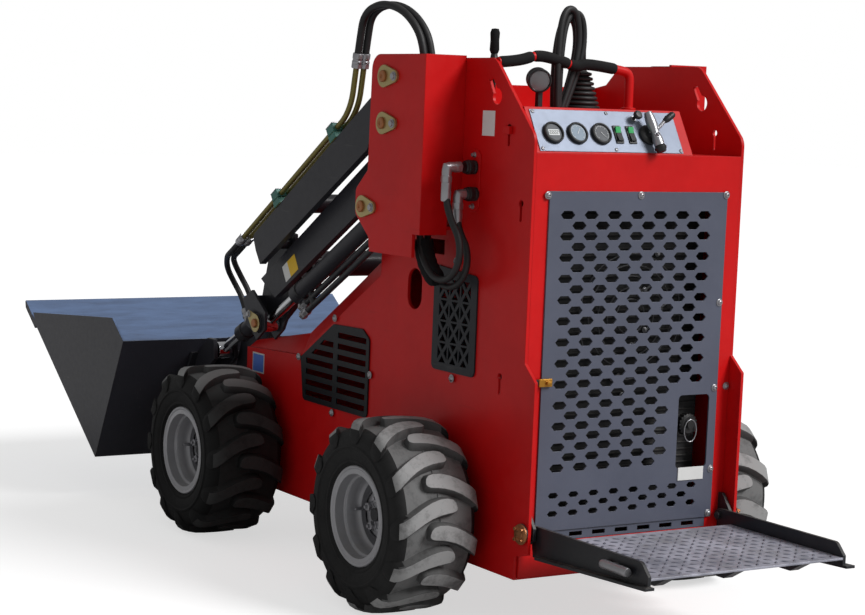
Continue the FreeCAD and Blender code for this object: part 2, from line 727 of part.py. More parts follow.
upper = node(new_body("upper_links"))
lower = node(new_body("lower_links"))
for hand, side in LEFT_RIGHT:
    band = sides(side, "upper_link_in", "upper_link_in + link_plate")
    add_pad(upper, "XZ_Plane", *band, outline(
        ("post_x - 30", "upper_pin_z + 20"),
        ("post_x + 95", "upper_pin_z - 55"),
        ("post_x + link_reach + 56", "upper_pin_z - link_drop + 17"),
        ("post_x + link_reach + 37", "upper_pin_z - link_drop - 22"),
        ("post_x + link_reach + 12", "upper_pin_z - link_drop - 55"),
        ("post_x + 95", "upper_pin_z - 172"),
        ("post_x + 30", "upper_pin_z - 30")))
    add_pad(upper, "XZ_Plane", *band, circle(*UPPER_PIN, "link_eye"))
    bored(upper, "XZ_Plane", *band, UPPER_PIN)
    bored(upper, "XZ_Plane", *sides(side, "upper_link_in", "upper_link_out - blind_wall"), UPPER_FRONT)
    round_corners(upper, "XZ_Plane", "14", ("post_x + link_reach + 56", "upper_pin_z - link_drop + 17"))
    band = sides(side, "lower_link_in", "lower_link_in + link_plate")
    add_pad(lower, "XZ_Plane", *band, outline(
        ("post_x - 34", "lower_pin_z - 14"),
        ("post_x + 34", "lower_pin_z + 14"),
        ("post_x + 150", "lower_pin_z - 90"),
        ("post_x + link_reach + 80", "lower_pin_z - link_drop + 8"),
        ("post_x + link_reach", "lower_pin_z - link_drop - 34"),
        ("post_x + 200", "lower_pin_z - 225")))
    add_pad(lower, "XZ_Plane", *band, circle(*LOWER_PIN, "link_eye"))
    bored(lower, "XZ_Plane", *band, LOWER_PIN)
    bored(lower, "XZ_Plane", *sides(side, "lower_link_in", "lower_link_in + link_plate - blind_wall"),
          LOWER_FRONT)

cross = ("post_x + 445", "upper_pin_z - 322")
add_pad(upper, "XZ_Plane", "-upper_link_in", "upper_link_in", circle(*cross, "cross_tube_radius"))

knuckle = node(new_body("knuckle_frame"))
for hand, side in LEFT_RIGHT:
    # inner plate, which carries both links, the torque tube and the lift rod
    add_pad(knuckle, "XZ_Plane", *sides(side, "knuckle_in", "knuckle_in + knuckle_plate"), outline(
        ("post_x + link_reach - 34", "upper_pin_z - link_drop + 26"),
        ("post_x + link_reach + 26", "upper_pin_z - link_drop + 34"),
        ("torque_x + 60", "torque_z + 10"),
        ("rod_pin_x + 86", "rod_pin_z + 57"),
        ("rod_pin_x + 54", "rod_pin_z - 5"),
        ("rod_pin_x + 8", "rod_pin_z - 46"),
        ("rod_pin_x - 36", "rod_pin_z - 14"),
        ("post_x + link_reach - 38", "lower_pin_z - link_drop - 20")))
    # outer cheek below the lower link, joined to the inner plate by a web ahead of the rod's eye
    add_pad(knuckle, "XZ_Plane", *sides(side, "knuckle_out - knuckle_plate", "knuckle_out"), outline(
        ("rod_pin_x + 40", "rod_pin_z + 84"),
        ("rod_pin_x + 89", "rod_pin_z + 57"),
        ("rod_pin_x + 57", "rod_pin_z - 5"),
        ("rod_pin_x + 8", "rod_pin_z - 46"),
        ("rod_pin_x - 36", "rod_pin_z - 14"),
        ("rod_pin_x - 37", "rod_pin_z + 33")))
    add_pad(knuckle, "XZ_Plane", *sides(side, "knuckle_in", "knuckle_out"), outline(
        ("rod_pin_x + 66", "rod_pin_z + 66"),
        ("rod_pin_x + 86", "rod_pin_z + 55"),
        ("rod_pin_x + 55", "rod_pin_z - 4"),
        ("rod_pin_x + 41", "rod_pin_z + 5")))
    # pins of the two links, and the two ends of the lift rod's pin
    add_pad(knuckle, "XZ_Plane", *sides(side, "knuckle_in", "upper_link_out - blind_wall - 1"),
            circle(*UPPER_FRONT, "pin_radius"))
    add_pad(knuckle, "XZ_Plane", *sides(side, "knuckle_in", "lower_link_in + link_plate - blind_wall - 1"),
            circle(*LOWER_FRONT, "pin_radius"))
    add_flag(knuckle, sides(side, "knuckle_out", "knuckle_out + flag_plate"), *ROD_PIN, 1)
    # drop arm down to the bucket hinge
    add_pad(knuckle, "XZ_Plane", *sides(side, "drop_y - drop_plate / 2", "drop_y + drop_plate / 2"), outline(
        ("torque_x - 30", "torque_z + 20"),
        ("torque_x + 40", "torque_z + 40"),
        ("hinge_x - 60", "hinge_z + 285"),
        ("hinge_x + 34", "hinge_z + 20"),
        ("hinge_x + 10", "hinge_z - 36"),
        ("hinge_x - 40", "hinge_z - 20"),
        ("hinge_x - 150", "hinge_z + 250"),
        ("torque_x - 10", "torque_z - 50")))
    bored(knuckle, "XZ_Plane", *sides(side, "drop_y - drop_plate / 2", "drop_y + drop_plate / 2"),
          ("hinge_x", "hinge_z"))
    # ears for the tilt cylinder's base
    for low, high in (("tilt_y - lug_gap / 2 - lug_plate", "tilt_y - lug_gap / 2"),
                      ("tilt_y + lug_gap / 2", "knuckle_in")):
        add_pad(knuckle, "XZ_Plane", *sides(side, low, high), outline(
            ("tilt_base_x - 26", "tilt_base_z - 16"),
            ("tilt_base_x - 20", "tilt_base_z + 26"),
            ("torque_x", "torque_z + 30"),
            ("torque_x + 10", "torque_z - 10"),
            ("tilt_base_x + 20", "tilt_base_z - 24")))
    add_pad(knuckle, "XZ_Plane", *sides(side, "tilt_y - lug_gap / 2 - lug_plate", "knuckle_in"),
            circle("tilt_base_x", "tilt_base_z", "pin_radius"))
add_pad(knuckle, "XZ_Plane", "-knuckle_in", "knuckle_in", circle("torque_x", "torque_z", "torque_radius"))


def cylinder_pair(name, y, base, tip, barrel_length):
    """Barrels and rods of the left and right cylinder, from the base pin towards the rod pin."""
    run, rise = "((%s) - (%s))" % (tip[0], base[0]), "((%s) - (%s))" % (tip[1], base[1])
    reach = value("sqrt(%s ^ 2 + %s ^ 2)" % (run, rise))
    start = Vector(value(base[0]), 0, value(base[1]))
    along = Vector(value(run), 0, value(rise))
    along.normalize()
    rod_radius, barrel_radius = value("rod_radius"), value("barrel_radius")
    eye, width = value("eye_radius"), value("eye_width")
    length, bore, gland_length = value(barrel_length), value(BORE), value("gland_length")
    rod_start, lip, gap = value("rod_start"), value("gland_lip"), value("rod_gap")
    across = Vector(0, 1, 0)
    barrels, rods = [], []
    for side in (1, -1):
        middle = Vector(0, side * value(y), 0)
        foot = start + middle
        head = foot + along * reach
        eye_foot = Part.makeCylinder(eye, width, foot - across * width / 2, across)
        barrel = Part.makeCylinder(barrel_radius, length - eye / 2, foot + along * (eye / 2), along)
        gland = Part.makeCylinder(barrel_radius + lip, gland_length,
                                  foot + along * (length - gland_length), along)
        bush = Part.makeCylinder(bore, 2 * width, foot - across * width, across)
        hollow = Part.makeCylinder(rod_radius + gap, length, foot + along * (rod_start - 4), along)
        barrels.append(eye_foot.fuse([barrel, gland]).cut([bush, hollow]))
        rod = Part.makeCylinder(rod_radius, reach - rod_start, foot + along * rod_start, along)
        eye_head = Part.makeCylinder(eye, width, head - across * width / 2, across)
        rods.append(rod.fuse(eye_head))
    node(add_shape(name + "_barrels", Part.makeCompound(barrels)))
    node(add_shape(name + "_rods", Part.makeCompound(rods)))


cylinder_pair("lift", "lift_y", RAM_PIN, ROD_PIN, "lift_barrel_length")
TILT_BASE = ("tilt_base_x", "tilt_base_z")
TILT_EYE = ("tilt_eye_x", "tilt_eye_z")
cylinder_pair("tilt", "tilt_y", TILT_BASE, TILT_EYE, "tilt_barrel_length")

# --------------------------------------------------------------------------------------
# Hitch and bucket
# --------------------------------------------------------------------------------------

BACK_LEAN = "((heel_x - back_x) / (back_z - heel_z))"


def back_line(z, off="0"):
    """X of the bucket's back at a height, moved forwards by off."""
    return "back_x + (back_z - (%s)) * %s + (%s)" % (z, BACK_LEAN, off)


hitch = node(new_body("hitch_frame"))
low_z, high_z = "hinge_z - 40", "back_z - 40"
add_pad(hitch, "XZ_Plane", "-hitch_half", "hitch_half", outline(
    (back_line(low_z, "-hitch_plate - 0.3"), low_z),
    (back_line(low_z, "-0.3"), low_z),
    (back_line(high_z, "-0.3"), high_z),
    (back_line(high_z, "-hitch_plate - 0.3"), high_z)))


def lug_pair(side, middle, half_gap, corners):
    """Two lugs standing on the hitch plate, half_gap each side of the middle."""
    for low, high in (("%s - %s - lug_plate" % (middle, half_gap), "%s - %s" % (middle, half_gap)),
                      ("%s + %s" % (middle, half_gap), "%s + %s + lug_plate" % (middle, half_gap))):
        add_pad(hitch, "XZ_Plane", *sides(side, low, high), outline(*corners))


HINGE = ("hinge_x", "hinge_z")
for hand, side in LEFT_RIGHT:
    lug_pair(side, "tilt_y", "lug_gap / 2", (
        ("tilt_eye_x - 26", "tilt_eye_z - 20"),
        ("tilt_eye_x - 16", "tilt_eye_z + 34"),
        ("tilt_eye_x + 20", "tilt_eye_z + 34"),
        (back_line("tilt_eye_z - 10", "-5"), "tilt_eye_z - 10"),
        (back_line("hinge_z + 90", "-5"), "hinge_z + 90")))
    lug_pair(side, "drop_y", "(drop_plate / 2 + 2)", (
        ("hinge_x - 30", "hinge_z - 24"),
        ("hinge_x - 24", "hinge_z + 36"),
        (back_line("hinge_z + 110", "-5"), "hinge_z + 110"),
        (back_line("hinge_z - 30", "-5"), "hinge_z - 30")))
    add_pad(hitch, "XZ_Plane", *sides(side, "drop_y - drop_plate / 2 - 2 - lug_plate",
                                      "drop_y + drop_plate / 2 + 2 + lug_plate"),
            circle(*HINGE, "pin_radius"))

bucket = node(new_body("bucket"))
floor_run, floor_rise = "(lip_x - heel_x)", "(lip_z - heel_z)"
floor_length = "sqrt(%s ^ 2 + %s ^ 2)" % (floor_run, floor_rise)
up_x = "(-bucket_plate * %s / %s)" % (floor_rise, floor_length)
up_z = "(bucket_plate * %s / %s)" % (floor_run, floor_length)
add_pad(bucket, "XZ_Plane", "-bucket_half", "bucket_half", outline(
    ("heel_x", "heel_z"),
    ("lip_x", "lip_z"),
    ("lip_x + %s" % up_x, "lip_z + %s" % up_z),
    ("heel_x + %s + bucket_plate * 1.2" % up_x, "heel_z + %s + bucket_plate * 0.8" % up_z),
    ("back_x + bucket_plate * 1.1", "back_z + 2"),
    ("back_x", "back_z")))
for hand, side in LEFT_RIGHT:
    add_pad(bucket, "XZ_Plane", *sides(side, "bucket_half - bucket_plate", "bucket_half"), outline(
        ("heel_x", "heel_z"),
        ("lip_x - 90", "lip_z - 62"),
        ("lip_x - 68", "lip_z - 26"),
        ("cheek_x", "cheek_z"),
        ("back_x", "back_z")))

edge = node(new_body("cutting_edge"))
along_x, along_z = "(%s / %s)" % (floor_run, floor_length), "(%s / %s)" % (floor_rise, floor_length)
add_pad(edge, "XZ_Plane", "-bucket_half", "bucket_half", outline(
    ("lip_x - edge_length * %s" % along_x, "lip_z - edge_length * %s" % along_z),
    ("lip_x", "lip_z"),
    ("lip_x + edge_plate * %s - 14 * %s" % (along_z, along_x),
     "lip_z - edge_plate * %s - 14 * %s" % (along_x, along_z)),
    ("lip_x - edge_length * %s + edge_plate * %s" % (along_x, along_z),
     "lip_z - edge_length * %s - edge_plate * %s" % (along_z, along_x))))


# --------------------------------------------------------------------------------------
# Rear panel, side covers and console
# --------------------------------------------------------------------------------------

rear = node(new_body("rear_frame"))
add_pad(rear, "YZ_Plane", "rear_x", "rear_x + sheet", outline(
    ("-body_in", "belly_z + sheet"), ("body_in", "belly_z + sheet"),
    ("body_in", "console_low_z"), ("-body_in", "console_low_z")))
add_cut(rear, "YZ_Plane", "rear_x", "rear_x + sheet", outline(
    ("-grille_half + 14", "strip_low_z"), ("grille_half - 14", "strip_low_z"),
    ("grille_half - 14", "grille_high_z - 14"), ("-grille_half + 14", "grille_high_z - 14")))

grille = node(new_body("rear_grille"))
add_pad(grille, "YZ_Plane", "rear_x - grille_plate", "rear_x", outline(
    ("-grille_half", "grille_low_z"), ("grille_half", "grille_low_z"),
    ("grille_half", "grille_high_z"), ("-grille_half", "grille_high_z")))
# set-back strip below the plate, and the cut-out for the drain cock
add_pad(grille, "YZ_Plane", "rear_x", "rear_x + grille_plate", outline(
    ("-grille_half + 15", "strip_low_z + 1"), ("grille_half - 15", "strip_low_z + 1"),
    ("grille_half - 15", "grille_low_z + 10"), ("-grille_half + 15", "grille_low_z + 10")))
COCK_CORNERS = (("-228", "350"), ("-138", "350"), ("-138", "520"), ("-228", "520"))
add_cut(grille, "YZ_Plane", "rear_x - grille_plate", "rear_x", outline(*COCK_CORNERS))
round_corners(grille, "YZ_Plane", "10", *COCK_CORNERS)
slit = add_cut(grille, "YZ_Plane", "rear_x", "rear_x + grille_plate", outline(
    ("hex_left_y - 18", "strip_low_z + 7"), ("hex_left_y + 18", "strip_low_z + 7"),
    ("hex_left_y + 18", "strip_low_z + 17"), ("hex_left_y - 18", "strip_low_z + 17")))
repeat(grille, slit, ("H_Axis", "-hex_pitch", 7))


def punch(holes, *runs, scale="1"):
    """Cuts long hexagonal holes at (y, z) places and repeats them; each run is (axis, step, count)."""
    corners = ((-1, "hex_half", 0), (-1, "hex_flat", -1), (1, "hex_flat", -1),
               (1, "hex_half", 0), (1, "hex_flat", 1), (-1, "hex_flat", 1))

    def draw(sketch):
        for y, z in holes:
            draw_outline(sketch, [("%s + %d * %s * %s" % (y, along, half, scale),
                                   "%s + %d * hex_height * %s" % (z, up, scale))
                                  for along, half, up in corners])

    cut = add_cut(grille, "YZ_Plane", "rear_x - grille_plate", "rear_x", draw)
    if runs:
        repeat(grille, cut, *runs)


def hex_spot(column, row):
    """Middle of a hole; odd rows are shifted to the right by half a pitch."""
    return ("hex_left_y - %g * hex_pitch" % (column + row % 2 / 2), "hex_top_z - %d * hex_rise" % row)


def foot_spot(column, row):
    """The same for the smaller holes at the foot."""
    return ("foot_left_y - %g * foot_pitch" % (column + row % 2 / 2), "foot_top_z - %d * foot_rise" % row)


# three rows of smaller holes, eight, seven and eight
punch([foot_spot(7, 0), foot_spot(7, 2)], scale="foot_scale")
punch([foot_spot(0, 0), foot_spot(0, 1), foot_spot(0, 2)], ("H_Axis", "-foot_pitch", 7), scale="foot_scale")
# large field of 25 rows: the two right columns end above the cut-out, the other five go down beside it
COLUMNS_BESIDE, LAST_ROW, LAST_ABOVE = 5, 24, 16
punch([hex_spot(0, LAST_ROW)], ("H_Axis", "-hex_pitch", COLUMNS_BESIDE))
punch([hex_spot(COLUMNS_BESIDE, LAST_ABOVE), hex_spot(COLUMNS_BESIDE + 1, LAST_ABOVE)])
punch([hex_spot(COLUMNS_BESIDE, 0), hex_spot(COLUMNS_BESIDE, 1), hex_spot(COLUMNS_BESIDE + 1, 0)],
      ("V_Axis", "-2 * hex_rise", LAST_ABOVE // 2))
punch([hex_spot(0, 0), hex_spot(0, 1)],
      ("H_Axis", "-hex_pitch", COLUMNS_BESIDE), ("V_Axis", "-2 * hex_rise", LAST_ROW // 2))

vents = node(new_body("side_vents"))
louvres = node(new_body("side_louvres"))
COLUMNS, CELLS = 3, 4
cell_x = "((vent_front_x - vent_rear_x - 2 * cover_frame) / %d)" % COLUMNS
cell_z = "((vent_high_z - vent_low_z - 2 * cover_frame) / %d)" % CELLS
SLOTS = 7
for hand, side in LEFT_RIGHT:
    band = sides(side, "body_half", "body_half + cover_plate")
    corners = (("vent_rear_x", "vent_low_z"), ("vent_front_x", "vent_low_z"),
               ("vent_front_x", "vent_high_z"), ("vent_rear_x", "vent_high_z - 14"))
    add_pad(vents, "XZ_Plane", *band, outline(*corners))
    round_corners(vents, "XZ_Plane", "cover_lap", *corners)
    # one cell of the lattice has four triangles round a cross
    x, z = "(vent_rear_x + cover_frame)", "(vent_low_z + cover_frame - 6)"
    mid_x, mid_z = "(%s + %s / 2)" % (x, cell_x), "(%s + %s / 2)" % (z, cell_z)
    far_x, far_z = "(%s + %s)" % (x, cell_x), "(%s + %s)" % (z, cell_z)
    rib, edge_rib = "lattice_rib", "lattice_rib / 2.4"

    def lattice_cell(sketch):
        for base, other, tip, upright in ((z, far_z, mid_z, False), (x, far_x, mid_x, True)):
            near, far, middle = (z, far_z, mid_z) if upright else (x, far_x, mid_x)
            for start, sign in ((base, 1), (other, -1)):
                spots = [("%s + %s * 1.5" % (near, rib), "%s + %d * %s" % (start, sign, edge_rib)),
                         ("%s - %s * 1.5" % (far, rib), "%s + %d * %s" % (start, sign, edge_rib)),
                         (middle, "%s - %d * %s" % (tip, sign, rib))]
                draw_outline(sketch, [spot[::-1] for spot in spots] if upright else spots)

    cell = add_cut(vents, "XZ_Plane", *band, lattice_cell)
    repeat(vents, cell, ("H_Axis", cell_x, COLUMNS), ("V_Axis", cell_z, CELLS))
    corners = (("louvre_rear_x", "louvre_low_z"), ("louvre_front_x - 18", "louvre_low_z"),
               ("louvre_front_x", "louvre_low_z + 110"), ("louvre_front_x - 165", "louvre_high_z - 4"),
               ("louvre_rear_x + 34", "louvre_high_z"), ("louvre_rear_x", "louvre_high_z - 22"))
    add_pad(louvres, "XZ_Plane", *band, outline(*corners))
    round_corners(louvres, "XZ_Plane", "cover_lap", corners[0], corners[1], corners[4], corners[5])
    low = "louvre_low_z + cover_lap"
    ahead = "louvre_bar_x + louvre_bar"

    def louvre_slot(near, *far):
        """A slot at the foot of its column; far gives its lower and upper front corner."""
        head = low + " + louvre_slot"
        return outline((near, low), (far[0], low), (far[1], head), (near, head))

    rear_slot = add_cut(louvres, "XZ_Plane", *band,
                        louvre_slot("louvre_rear_x + cover_lap", "louvre_bar_x", "louvre_bar_x"))
    repeat(louvres, rear_slot, ("V_Axis", "louvre_pitch", SLOTS))
    front_slot = add_cut(louvres, "XZ_Plane", *band,
                         louvre_slot(ahead, "louvre_front_x - 30", "louvre_front_x - 30"))
    repeat(louvres, front_slot, ("V_Axis", "louvre_pitch", SLOTS - 3))
    for row, reach in ((4, 56), (5, 98)):
        z = "%s + %d * louvre_pitch" % (low, row)
        add_cut(louvres, "XZ_Plane", *band, outline(
            (ahead, z), ("louvre_front_x - %d" % reach, z),
            ("louvre_front_x - %d" % (reach + 20), z + " + louvre_slot"), (ahead, z + " + louvre_slot")))

console = node(new_body("console"))


def panel_inside(z):
    """X of the inner face of the tower's front panel at a height."""
    return "(brow_x - sheet + (brow_z - %s) * (tower_foot_x - brow_x) / (brow_z - hood_high_z))" % z


add_pad(console, "XZ_Plane", "console_right_y", "body_in", outline(
    ("rear_x", "console_low_z"),
    ("console_x", "console_z"),
    (panel_inside("console_z"), "console_z"),
    (panel_inside("console_z"), "console_z - sheet"),
    ("console_x + 3", "console_z - sheet"),
    ("rear_x + sheet", "console_low_z")))
# end wall and the open tray on the right
tray_z = "(console_low_z - sheet)"
add_pad(console, "XZ_Plane", "console_right_y", "console_right_y + sheet", outline(
    ("rear_x + sheet", tray_z),
    ("rear_x + sheet", "console_low_z"),
    ("console_x + 3", "console_z - sheet"),
    (panel_inside("console_z"), "console_z - sheet"),
    (panel_inside("console_low_z"), "console_low_z"),
    (panel_inside("console_low_z"), tray_z)))
add_pad(console, "XZ_Plane", "-body_in", "console_right_y + sheet / 2", outline(
    ("rear_x + 2 * sheet", tray_z), ("rear_x + 2 * sheet", "console_low_z"),
    (panel_inside("console_low_z"), "console_low_z"), (panel_inside("console_low_z"), tray_z)))

SLOPE = "sqrt((console_x - rear_x) ^ 2 + (console_z - console_low_z) ^ 2)"
OUT_X = "((console_z - console_low_z) / %s)" % SLOPE
OUT_Z = "((console_x - rear_x) / %s)" % SLOPE


def on_slope(share, off):
    """A place on the sloped console: share of the way up, off the surface."""
    return ("rear_x + (console_x - rear_x) * %s - %s * %s" % (share, OUT_X, off),
            "console_low_z + (console_z - console_low_z) * %s + %s * %s" % (share, OUT_Z, off))


panel = node(new_body("instrument_panel"))
add_pad(panel, "XZ_Plane", "console_right_y + 27", "body_in - 10", outline(
    on_slope("0.04", "0"), on_slope("0.94", "0"), on_slope("0.94", "2"), on_slope("0.04", "2")))


def on_panel(y, share):
    x, z = on_slope(share, "2")
    return Vector(value(x), y, value(z))


def slope_normal():
    return Vector(-value(OUT_X), 0, value(OUT_Z))


def studs(items):
    """Round bars standing on the instrument panel: (y, share up the slope, radius, height)."""
    return [Part.makeCylinder(radius, height, on_panel(y, share), slope_normal())
            for y, share, radius, height in items]


node(add_shape("gauges", Part.makeCompound(studs(
    [(232, 0.42, 26, 9), (167, 0.42, 26, 9), (102, 0.42, 26, 9)]))))
node(add_shape("switches", Part.makeCompound(studs(
    [(54, 0.42, 9, 8), (18, 0.42, 9, 8), (-18, 0.7, 9, 22), (-62, 0.45, 20, 30), (-110, 0.45, 10, 12)]))))

# --------------------------------------------------------------------------------------
# Operator's bar, levers, lamp, couplers
# --------------------------------------------------------------------------------------

bar_end = value("body_in")
bar_points = [Vector(-148, bar_end, 1262), Vector(-148, 235, 1262), Vector(-149, 165, 1278),
              Vector(-150, 80, 1268), Vector(-152, -38, 1258), Vector(-155, -84, 1240),
              Vector(-156, -98, 1200), Vector(-156, -98, value("console_z"))]
bar, bar_length, bar_radii = tube(bar_points, 12.5)
node(add_shape("handlebar", bar))

top_z = value("console_z")
UP, OUT = Vector(0, 0, 1), Vector(0, 1, 0)

boot_foot, boot_height = Vector(-95, 45, top_z), 80
node(add_shape("lever_boot", Part.makeCone(36, 26, boot_height, boot_foot)))
drive_lever = Part.makeCone(14, 17, 78, boot_foot + UP * boot_height)
hand_foot, stem_height = Vector(-85, 262, top_z), 100
hand_lever = Part.makeCylinder(7, stem_height + 2, hand_foot)
hand_lever = hand_lever.fuse(Part.makeCone(13, 16, 70, hand_foot + UP * stem_height))
node(add_shape("control_levers", Part.makeCompound([drive_lever, hand_lever])))

lamp_foot, lamp_height = Vector(-170, 170, top_z), 50
lamp = Part.makeCylinder(7, lamp_height, lamp_foot)
lamp = lamp.fuse(Part.makeCylinder(25, 30, lamp_foot + Vector(10, 0, lamp_height + 6), Vector(-1, 0, 0.15)))
node(add_shape("work_lamp", lamp))

# Quick couplers on the left side: (x, z, how far the elbow stands out)
COUPLERS = ((-91, 1026, 78), (-98, 966, 50))
COUPLER_OUT, ELBOW_DROP = 34, 30
hose_radius, ferrule_radius = value("hose_radius"), value("ferrule_radius")
coupler_face = value("body_half")
couplers = Part.makeBox(44, 4, 140, Vector(-112, coupler_face, 926))
for x, z, elbow_out in COUPLERS:
    foot = Vector(x, coupler_face, z)
    elbow = foot + OUT * elbow_out
    couplers = couplers.fuse([Part.makeCylinder(15, COUPLER_OUT, foot, OUT),
                              Part.makeCylinder(ferrule_radius, elbow_out, foot, OUT),
                              Part.makeSphere(ferrule_radius, elbow),
                              Part.makeCylinder(ferrule_radius, ELBOW_DROP, elbow, -UP)])
node(add_shape("auxiliary_couplers", couplers))

# Brackets inside the tower that the hoses start from, welded to the left side plate
COUPLER_BRACKET = Vector(-6, coupler_face, 878)
ARM_BRACKET = Vector(36, coupler_face, 1190)
brackets = [Part.makeBox(42, 92, 8, COUPLER_BRACKET), Part.makeBox(44, 72, 8, ARM_BRACKET)]
node(add_shape("hose_brackets", Part.makeCompound(brackets)))

# --------------------------------------------------------------------------------------
# Platform
# --------------------------------------------------------------------------------------

STEP_PIN = ("step_pin_x", "step_pin_z")
arms = node(new_body("platform_arms"))
rail_low, rail_end = "step_z - step_arm_height", "step_rear_x - step_arm_tail"
for hand, side in LEFT_RIGHT:
    rail = sides(side, "step_half", "step_half + step_rail")
    add_pad(arms, "XZ_Plane", *rail, outline(
        ("step_pin_x - 8", rail_low),
        ("step_rear_x", "step_z - 20"),
        ("step_rear_x", "step_z + 4"),
        ("step_rear_x + 24", "step_z + step_rise"),
        ("step_pin_x - 10", "step_z + step_rise"),
        ("step_pin_x", "step_pin_z + step_eye_radius"),
        ("step_pin_x", "step_pin_z - step_eye_radius")))
    add_pad(arms, "XZ_Plane", *rail, circle(*STEP_PIN, "step_eye_radius"))
    round_corners(arms, "XZ_Plane", "step_flange", ("step_rear_x + 24", "step_z + step_rise"))
    add_cut(arms, "XZ_Plane", *rail, circle(*STEP_PIN, "step_pin_radius + pin_gap"))
    # foot flange, turned outwards
    add_pad(arms, "XZ_Plane", *sides(side, "step_half", "step_half + step_rail + step_flange"), outline(
        ("ear_x - 14", rail_low + " + 1"),
        (rail_end, "step_z - 22"),
        (rail_end, "step_z - 16"),
        ("ear_x - 14", rail_low + " + 7")))
# ribs under the tread plate
for y in (-165, 20, 205):
    add_pad(arms, "XZ_Plane", str(y - 12), str(y + 12), outline(
        ("step_front_x - 10", "step_z - step_plate"), ("step_rear_x + 4", "step_z - step_plate"),
        ("step_rear_x + 44", "step_z - step_plate - step_rib"),
        ("step_front_x - 60", "step_z - step_plate - step_rib")))
deck = node(new_body("platform_deck"))
add_pad(deck, "XZ_Plane", "-step_half", "step_half", outline(
    ("step_front_x", "step_z - step_plate"), ("step_rear_x", "step_z - step_plate"),
    ("step_rear_x", "step_z"), ("step_front_x", "step_z")))

pivots = node(new_body("platform_pivots"))
for hand, side in LEFT_RIGHT:
    add_pad(pivots, "XZ_Plane", *sides(side, "body_half", "body_half + 6"),
            circle(*STEP_PIN, "step_eye_radius + 6"))
    add_pad(pivots, "XZ_Plane", *sides(side, "step_half - 8", "body_half"),
            circle(*STEP_PIN, "step_pin_radius"))
    # bracket beside the rail, standing up behind the rear face
    add_pad(pivots, "XZ_Plane", *sides(side, "step_half + step_rail + 4", "body_in - 5"), outline(
        ("rear_x", "step_pin_z - 30"), ("rear_x", "step_pin_z + 50"), ("rear_x - 14", "step_pin_z + 50"),
        ("step_pin_x - 22", "step_pin_z + 12"), ("step_pin_x - 22", "step_pin_z - 14"),
        ("step_pin_x", "step_pin_z - 30")))
add_pad(pivots, "YZ_Plane", "rear_x - 10", "rear_x", outline(
    ("grille_half + 2", "560"), ("grille_half + 30", "560"),
    ("grille_half + 30", "572"), ("grille_half + 2", "572")))

# --------------------------------------------------------------------------------------
# Hydraulic lines
# --------------------------------------------------------------------------------------


line_pitch = value("line_pitch")
ACROSS = Vector(0, -line_pitch, 0)


def hose(label, points, radius):
    """A line through the points, with its length and radii printed."""
    solid, length, radii = tube(points, radius)
    print(label, "length %.0f" % length, "radii", [round(r) for r in radii])
    return solid


# Steel lines along the top edge of the left upper link, with ferrules and two clamps
link_top = Vector(value("post_x + 95"), value("upper_link_in + link_plate / 2"), value("upper_pin_z - 55"))
edge_end = Vector(value("post_x + link_reach + 56"), link_top.y, value("upper_pin_z - link_drop + 17"))
EDGE = (edge_end - link_top).normalize()
EDGE_UP = Vector(-EDGE.z, 0, EDGE.x)
line_radius, stand = value("hard_line_radius"), value("line_stand")
line_rear = link_top + EDGE * 100 + EDGE_UP * stand
line_front = link_top + EDGE * 735 + EDGE_UP * stand
RISE = Vector(-0.187, 0, 0.982).normalize()
top_end = line_rear + RISE * 112
FERRULE, SEAT = 30, 0.3
hard = []
for offset in (Vector(), ACROSS):
    hard.append(hose("hard_lines", [top_end + offset, line_rear + offset, line_front + offset], line_radius))
    hard.append(Part.makeCylinder(ferrule_radius - 2, FERRULE, top_end + offset, RISE))
    hard.append(Part.makeCylinder(ferrule_radius - 2, FERRULE, line_front + offset, EDGE))
clamp_width = line_pitch + 2 * line_radius + 8
for along in (175, 500):
    clamp = Part.makeBox(26, clamp_width, stand + line_radius + 4)
    clamp.Placement = Placement(link_top + EDGE * along + Vector(0, line_radius + 4 - clamp_width, 0),
                                Rotation(EDGE, Vector(0, 1, 0), EDGE_UP, "XYZ"))
    hard.append(clamp)
node(add_shape("hard_lines", hard[0].fuse(hard[1:])))


def chain(start, *runs):
    """Points of a route: each run is (length, degrees above +X in the XZ plane, step in Y)."""
    points = [start]
    for length, angle, step in runs:
        turn = math.radians(angle)
        points.append(points[-1] + Vector(length * math.cos(turn), step, length * math.sin(turn)))
    return points


coupler_pair = []
for (x, z, elbow_out), down in zip(COUPLERS, ((44, 52, 50, 52), (30, 36, 36, 48))):
    start = Vector(x, coupler_face + elbow_out, z - ELBOW_DROP)
    points = chain(start, (down[0], -90, 0), (down[1], -120, 0), (down[2], -132, -2), (down[3], -95, 0),
                   (56, -48, -2), (58, -8, 0), (54, 30, 0), (56, 58, 0))
    foot = Vector(points[-1].x, points[-1].y, COUPLER_BRACKET.z)
    coupler_pair.append(hose("coupler_hoses", points + [foot], hose_radius))
node(add_shape("coupler_hoses", Part.makeCompound(coupler_pair)))

arm_hose_radius = value("arm_hose_radius")
arm_pair = []
for offset in (Vector(), ACROSS):
    start = ARM_BRACKET + Vector(22, 50, 8) + offset
    end = top_end + RISE * (FERRULE + SEAT) + offset
    arm_pair.append(hose("arm_hoses", [
        start,
        start + UP * 96,
        Vector(108, (start.y + end.y) / 2, 1370),
        Vector(196, end.y - 4, 1398),
        end + RISE * 84 + Vector(-6, 0, 14),
        end + RISE * 30,
        end], arm_hose_radius))
node(add_shape("arm_hoses", Part.makeCompound(arm_pair)))

